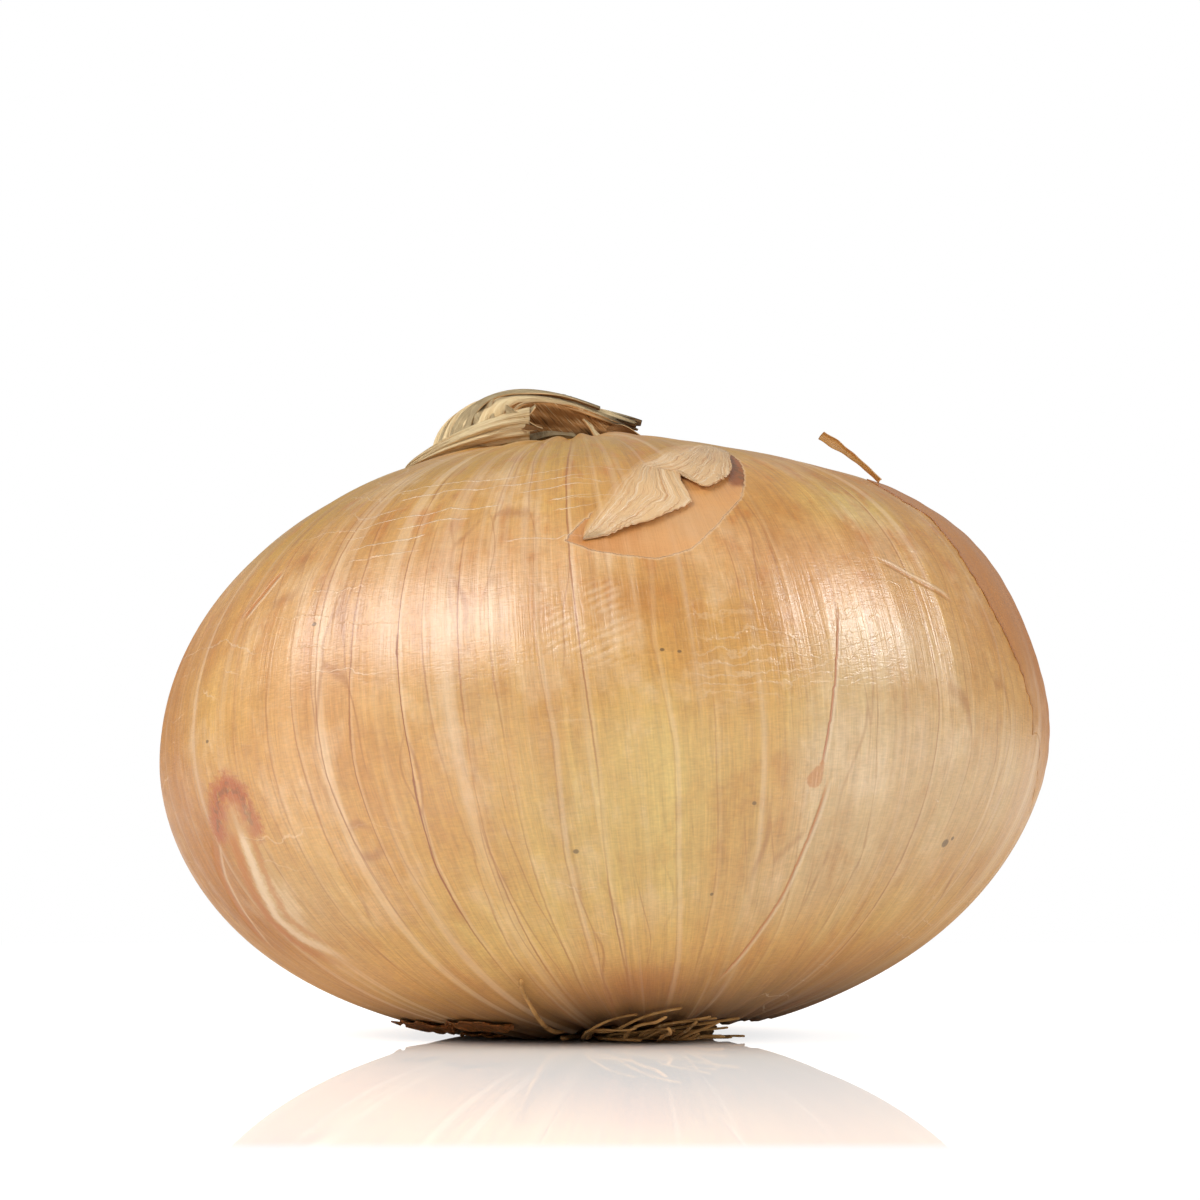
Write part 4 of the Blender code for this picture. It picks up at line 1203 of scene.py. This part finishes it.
def build_root_plate(shape, material):
    """Corky root plate: a turned profile with a flat foot, roughened by waves round and across."""
    low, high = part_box("root_plate")
    middle = ((low.x + high.x) / 2, (low.y + high.y) / 2)
    radius, top = (high.x - low.x) / 2, high.z
    profile = np.array([(0.0, 1.0), (0.5, 1.02), (0.8, 0.96), (0.95, 0.8), (1.0, 0.5), (0.98, 0.2),
                        (0.93, 0.0), (0.6, 0.0), (0.3, 0.0), (0.0, 0.0)])
    place = np.linspace(0, len(profile) - 1, 46)
    reach = np.interp(place, np.arange(len(profile)), profile[:, 0])
    rise = np.interp(place, np.arange(len(profile)), profile[:, 1])
    angle = np.linspace(0, 2 * math.pi, 121)
    rough = 1 + 0.05 * np.sin(13 * angle + 5 * rise[:, None]) + 0.04 * np.sin(31 * angle - 7 * rise[:, None])
    span = radius * reach[:, None] * rough
    points = np.stack([middle[0] + span * np.cos(angle), middle[1] + span * np.sin(angle),
                       top * rise[:, None] + 0 * angle], axis=-1)
    points[:, -1] = points[:, 0]
    rows, columns = points.shape[:2]
    lengthways = np.zeros(rows * columns)
    return new_piece("root_cork", points.reshape(-1, 3), grid_faces(rows, columns), grid_uv(rows, columns),
                     {"lengthways": lengthways}, material, ("root_plate",))


ROOT_COUNT = 24
ROOTS_LEFT = (   # longitudes of the start and the tip, and polar angle of the tip
    (-34.0, -19.0, 141.5), (-42.0, -24.0, 161.0), (-30.0, -2.0, 162.0))


def root_route(shape, index, draw):
    """Way of one root: from the plate's rim up along the bulb's lower front to its tip, under it by a
    drop that grows along the root, wandering to the side and with a kink or two on the way. The first
    roots go where the list says, the rest fan out in turn."""
    share = index / (ROOT_COUNT - 1)
    along = np.linspace(0, 1, 34)
    start, end, tip = ROOTS_LEFT[index] if index < len(ROOTS_LEFT) else (
        -34.0 + 60.0 * (index * 7 % 21) / 21, -8.0 + 54.0 * share + 5.0 * math.sin(1.7 * index + 0.9), None)
    if tip is None:
        tip = 149.0 + 0.24 * (end + 8.0) + 7.0 * abs(math.sin(2.4 * index))
    polar = 172.4 + (tip - 172.4) * along ** 0.9
    longitude = start + (end - start) * along ** 1.5
    longitude = longitude + 2.5 * along * draw.normal() + 1.8 * along * waves(along * 6, 4, 0.8, 2.5, index)
    drop = 0.55 + 0.62 * (index % 3) + 0.5 * along ** 2 * abs(draw.normal())
    route = on_bulb(shape, polar, longitude, drop * MM)
    inside = np.clip(1 - along * 3, 0, 1)
    ceiling = (1.84 - 0.62 * (index % 3)) * MM
    route[:, 2] = route[:, 2] * (1 - inside) + ceiling * inside
    kink = np.stack([waves(along * 5, 4, 1, 3, 60 + index), 0 * along,
                     waves(along * 5, 4, 1, 3, 90 + index)], axis=-1)
    route = route + kink * (0.34 * MM * along ** 0.5)[:, None]
    route[:, 2] = np.maximum(route[:, 2], 0.28 * MM)
    return route


def build_roots(shape, dry, material):
    """The dry roots, each a crinkled tube of its own thickness that thins towards its tip."""
    draw = np.random.default_rng(7)
    for index in range(ROOT_COUNT):
        route = root_route(shape, index, draw)
        share = np.linspace(0, 1, len(route))
        radius = dry.root_radius * (1.05 - 0.45 * share) * (0.8 + 0.5 * draw.random())
        number = f"{index + 1:02d}"
        tube(f"root_fibre_{number}", route, radius, 8, material, (f"root_{number}",),
             squash=0.75, ripple=0.16, seed=index)


# Middle longitude and polar angle of each scrap, and its half length and half width, in degrees.
SCRAPS = ((-73.0, 153.5, 12.0, 2.8), (-49.0, 155.5, 9.0, 2.3), (-62.0, 160.0, 6.0, 1.6))


def build_scraps(shape, material):
    """Pointed flakes of dry skin between the bulb and the floor: ovals on the bulb's underside with
    a torn outline, curling away from it at the edge."""
    for number, (middle, polar_middle, half_length, half_width) in enumerate(SCRAPS, start=1):
        s, t = np.meshgrid(np.linspace(-1, 1, 70), np.linspace(-1, 1, 22), indexing="ij")
        taper = np.sqrt(1 - 0.985 * s ** 2) * (1 + 0.12 * waves(s * 9, 6, 0.8, 3, 70 + number))
        polar = polar_middle + half_width * t * taper + 1.5 * s
        longitude = middle + half_length * s
        lift = 0.4 + 0.25 * t ** 2 + 0.15 * waves(s * 6 + t, 4, 0.8, 2, 75 + number)
        points = on_bulb(shape, polar, longitude, np.maximum(lift, 0.25) * MM)
        points[..., 2] = np.maximum(points[..., 2], 0.2 * MM)
        shell(f"foot_scrap_{number}", points, 0.15 * MM, {}, material,
              (f"base_scrap_{number}",), bulb_normal(shape, polar, longitude))


# ---------------------------------------------------------------- stage

FLOOR_HALF, FLOOR_LEVEL = 3.0, -0.0001      # metres
MIRROR_END = (-0.156, -0.148)               # where the gloss begins in front of the onion, in metres
GLOW_START = (0.012, 0.045)                 # distances over which the floor's faint painted glow begins, which lights the onion's underside
WHITE_START = (0.22, 0.60)                  # distances over which the floor turns plain white


def build_floor(studio):
    """A wide white floor under clear gloss, which mirrors more the lower it is seen. In front of the
    onion it is bare and mirrors nothing. Round the onion's foot it only takes light, a little further
    out it has a faint painted glow of its own that lights the onion's underside, and far away it
    shines plain white."""
    half, level = FLOOR_HALF, FLOOR_LEVEL
    points = [(-half, -half, level), (half, -half, level), (half, half, level), (-half, half, level)]
    mesh = bpy.data.meshes.new("floor")
    mesh.from_pydata(points, [], [(0, 1, 2, 3)])
    graph = Graph("floor")
    white = (studio.matt,) * 3
    under = graph.make("BsdfDiffuse", {}, {"Color": white})
    lower = graph.make("BsdfDiffuse", {}, {"Color": (0.45, 0.45, 0.45)})
    mirror = graph.make("BsdfGlossy", {}, {"Color": (studio.gloss,) * 3, "Roughness": 0.0})
    grazing = graph.make("Fresnel", {}, {"IOR": 2.2})
    coated = graph.make("MixShader", {}, {0: grazing, 1: lower, 2: mirror})
    glossy = graph.make("AddShader", {}, {0: under, 1: coated})
    here = graph.make("TexCoord", {}, {}, 3)
    back = graph.make("SeparateXYZ", {}, {0: here}, 1)
    bare = graph.make("BsdfDiffuse", {}, {"Color": (0.95, 0.95, 0.95)})
    reach = graph.make("VectorMath", {"operation": "LENGTH"}, {0: here}, 1)
    # Painted glow: near the onion the floor gives off a faint light of its own, which brightens the onion's
    # underside.
    painted_glow = graph.make("Emission", {}, {"Color": (1.0, 0.98, 0.94), "Strength": 0.05})
    glowing = graph.make("AddShader", {}, {0: glossy, 1: painted_glow})
    clear = graph.make("MixShader", {}, {0: reach.step(*GLOW_START), 1: glossy, 2: glowing})
    near = graph.make("MixShader", {}, {0: back.step(*MIRROR_END), 1: bare, 2: clear})
    white_glow = graph.make("Emission", {}, {"Color": (1.0, 1.0, 1.0), "Strength": 1.0})
    total = graph.make("MixShader", {}, {0: reach.step(*WHITE_START), 1: near, 2: white_glow})
    graph.connect(graph.tree.nodes["Material Output"].inputs["Surface"], total)
    mesh.materials.append(graph.material)
    floor = bpy.data.objects.new("floor", mesh)
    bpy.context.scene.collection.objects.link(floor)


def add_light(name, place, target, size, power):
    """A rectangular soft light at a place in metres, turned to the target."""
    data = bpy.data.lights.new(name, "AREA")
    data.shape = "RECTANGLE"
    data.size, data.size_y = size
    data.energy = power
    light = bpy.data.objects.new(name, data)
    light.location = place
    toward = np.array(target) - np.array(place)
    flat = math.hypot(toward[0], toward[1])
    light.rotation_euler = (math.atan2(flat, -toward[2]), 0.0, math.atan2(-toward[0], toward[1]))
    bpy.context.scene.collection.objects.link(light)


HORIZON = (0.16, 0.34)          # heights in the sky between which the surroundings brighten
HORIZON_STRENGTH = 0.32         # their strength below that


def build_lights(studio):
    """Three soft lights and white surroundings, dim at the horizon and brighter overhead. The camera
    and sharp mirror rays see the surroundings plain white."""
    scene = bpy.context.scene
    world = bpy.data.worlds.new("white")
    world.use_nodes = True
    tree = world.node_tree
    back = tree.nodes["Background"]
    back.inputs["Color"].default_value = (1, 1, 1, 1)
    place = tree.nodes.new("ShaderNodeTexCoord")
    parts = tree.nodes.new("ShaderNodeSeparateXYZ")
    rise = tree.nodes.new("ShaderNodeMapRange")
    rise.interpolation_type = "SMOOTHSTEP"
    for key, value in (("From Min", HORIZON[0]), ("From Max", HORIZON[1]),
                       ("To Min", HORIZON_STRENGTH), ("To Max", studio.world)):
        rise.inputs[key].default_value = value
    path = tree.nodes.new("ShaderNodeLightPath")
    strength = tree.nodes.new("ShaderNodeMix")
    strength.inputs["B"].default_value = 1.0
    tree.links.new(place.outputs["Generated"], parts.inputs["Vector"])
    tree.links.new(parts.outputs["Z"], rise.inputs["Value"])
    seen = tree.nodes.new("ShaderNodeMath")
    seen.operation = "MAXIMUM"
    tree.links.new(path.outputs["Is Camera Ray"], seen.inputs[0])
    tree.links.new(path.outputs["Is Singular Ray"], seen.inputs[1])
    tree.links.new(seen.outputs["Value"], strength.inputs["Factor"])
    tree.links.new(rise.outputs["Result"], strength.inputs["A"])
    tree.links.new(strength.outputs["Result"], back.inputs["Strength"])
    scene.world = world
    middle = (0.0, 0.0, 0.035)
    add_light("key_left", (-0.60, -0.09, 0.42), middle, (0.20, 0.26), studio.key)
    add_light("fill_right", (0.56, -0.18, 0.34), middle, (0.12, 0.20), studio.fill)
    add_light("top_front", (-0.42, -0.52, 0.50), middle, (0.50, 0.36), studio.top)
    scene.view_settings.view_transform = "Standard"


def build_camera(studio):
    """A long lens close to the floor, tipped up to aim at the middle of the onion."""
    data = bpy.data.cameras.new("camera")
    data.lens, data.sensor_width = studio.focal, 36.0
    camera = bpy.data.objects.new("camera", data)
    camera.location = (-studio.camera_side, -studio.distance, studio.camera_height)
    rise = math.atan2(studio.aim_height - studio.camera_height, studio.distance)
    camera.rotation_euler = (math.pi / 2 + rise, 0.0, 0.0)
    bpy.context.scene.collection.objects.link(camera)
    bpy.context.scene.camera = camera


# ---------------------------------------------------------------- operators and panel

class OnionOperator:
    bl_options = {"REGISTER", "UNDO"}


class ONION_OT_bulb(OnionOperator, bpy.types.Operator):
    """Build the bulb's skin with its window, veins and scars"""
    bl_idname = "onion.bulb"
    bl_label = "Bulb"

    def execute(self, context):
        build_bulb(context.scene.onion_bulb, context.scene.onion_skin)
        return {"FINISHED"}


class ONION_OT_loose_skin(OnionOperator, bpy.types.Operator):
    """Build the torn flap, the old skin on the right shoulder and the curl that stands up from it"""
    bl_idname = "onion.loose_skin"
    bl_label = "Loose skin"

    def execute(self, context):
        shape, skin = context.scene.onion_bulb, context.scene.onion_skin
        build_flap(shape, skin)
        build_remnant(shape, skin)
        build_sliver(shape, skin)
        return {"FINISHED"}


class ONION_OT_neck(OnionOperator, bpy.types.Operator):
    """Build the dried neck: hood, back wall, toe, floor of the mouth, collar and strands"""
    bl_idname = "onion.neck"
    bl_label = "Neck"

    def execute(self, context):
        shape = context.scene.onion_bulb
        material = neck_material("neck_sheath", context.scene.onion_dry)
        for build in (build_hood, build_ribbons, build_curtain, build_back_wall, build_toe, build_stump,
                      build_collar, build_strands):
            build(shape, material)
        return {"FINISHED"}


class ONION_OT_roots(OnionOperator, bpy.types.Operator):
    """Build the root plate, the roots and the scraps of skin at the foot"""
    bl_idname = "onion.roots"
    bl_label = "Roots and foot"

    def execute(self, context):
        shape, dry = context.scene.onion_bulb, context.scene.onion_dry
        material = root_material("dry_root", dry)
        build_root_plate(shape, material)
        build_roots(shape, dry, material)
        build_scraps(shape, scrap_material("foot_scrap", dry, context.scene.onion_skin))
        return {"FINISHED"}


class ONION_OT_stage(OnionOperator, bpy.types.Operator):
    """Set up the floor, the lights and the camera"""
    bl_idname = "onion.stage"
    bl_label = "Stage"

    def execute(self, context):
        studio = context.scene.onion_studio
        build_floor(studio)
        build_lights(studio)
        build_camera(studio)
        return {"FINISHED"}


STEPS = (ONION_OT_stage, ONION_OT_bulb, ONION_OT_loose_skin, ONION_OT_neck, ONION_OT_roots)


class ONION_PT_panel(bpy.types.Panel):
    """Buttons that build the onion's looks"""
    bl_label = "Onion"
    bl_idname = "ONION_PT_panel"
    bl_space_type = "VIEW_3D"
    bl_region_type = "UI"
    bl_category = "Onion"

    def draw(self, context):
        for step in STEPS:
            self.layout.operator(step.bl_idname)


GROUPS = {"onion_bulb": OnionBulbSettings, "onion_skin": OnionSkinSettings, "onion_dry": OnionDrySettings,
          "onion_studio": OnionStudioSettings}


def register():
    for group in GROUPS.values():
        bpy.utils.register_class(group)
    for key, group in GROUPS.items():
        setattr(bpy.types.Scene, key, PointerProperty(type=group))
    for step in STEPS:
        bpy.utils.register_class(step)
    bpy.utils.register_class(ONION_PT_panel)


def unregister():
    bpy.utils.unregister_class(ONION_PT_panel)
    for step in reversed(STEPS):
        bpy.utils.unregister_class(step)
    for key, group in GROUPS.items():
        delattr(bpy.types.Scene, key)
        bpy.utils.unregister_class(group)


def main():
    register()
    bpy.ops.onion.stage()
    bpy.ops.onion.bulb()
    bpy.ops.onion.loose_skin()
    bpy.ops.onion.neck()
    bpy.ops.onion.roots()


if __name__ == "__main__":
    main()
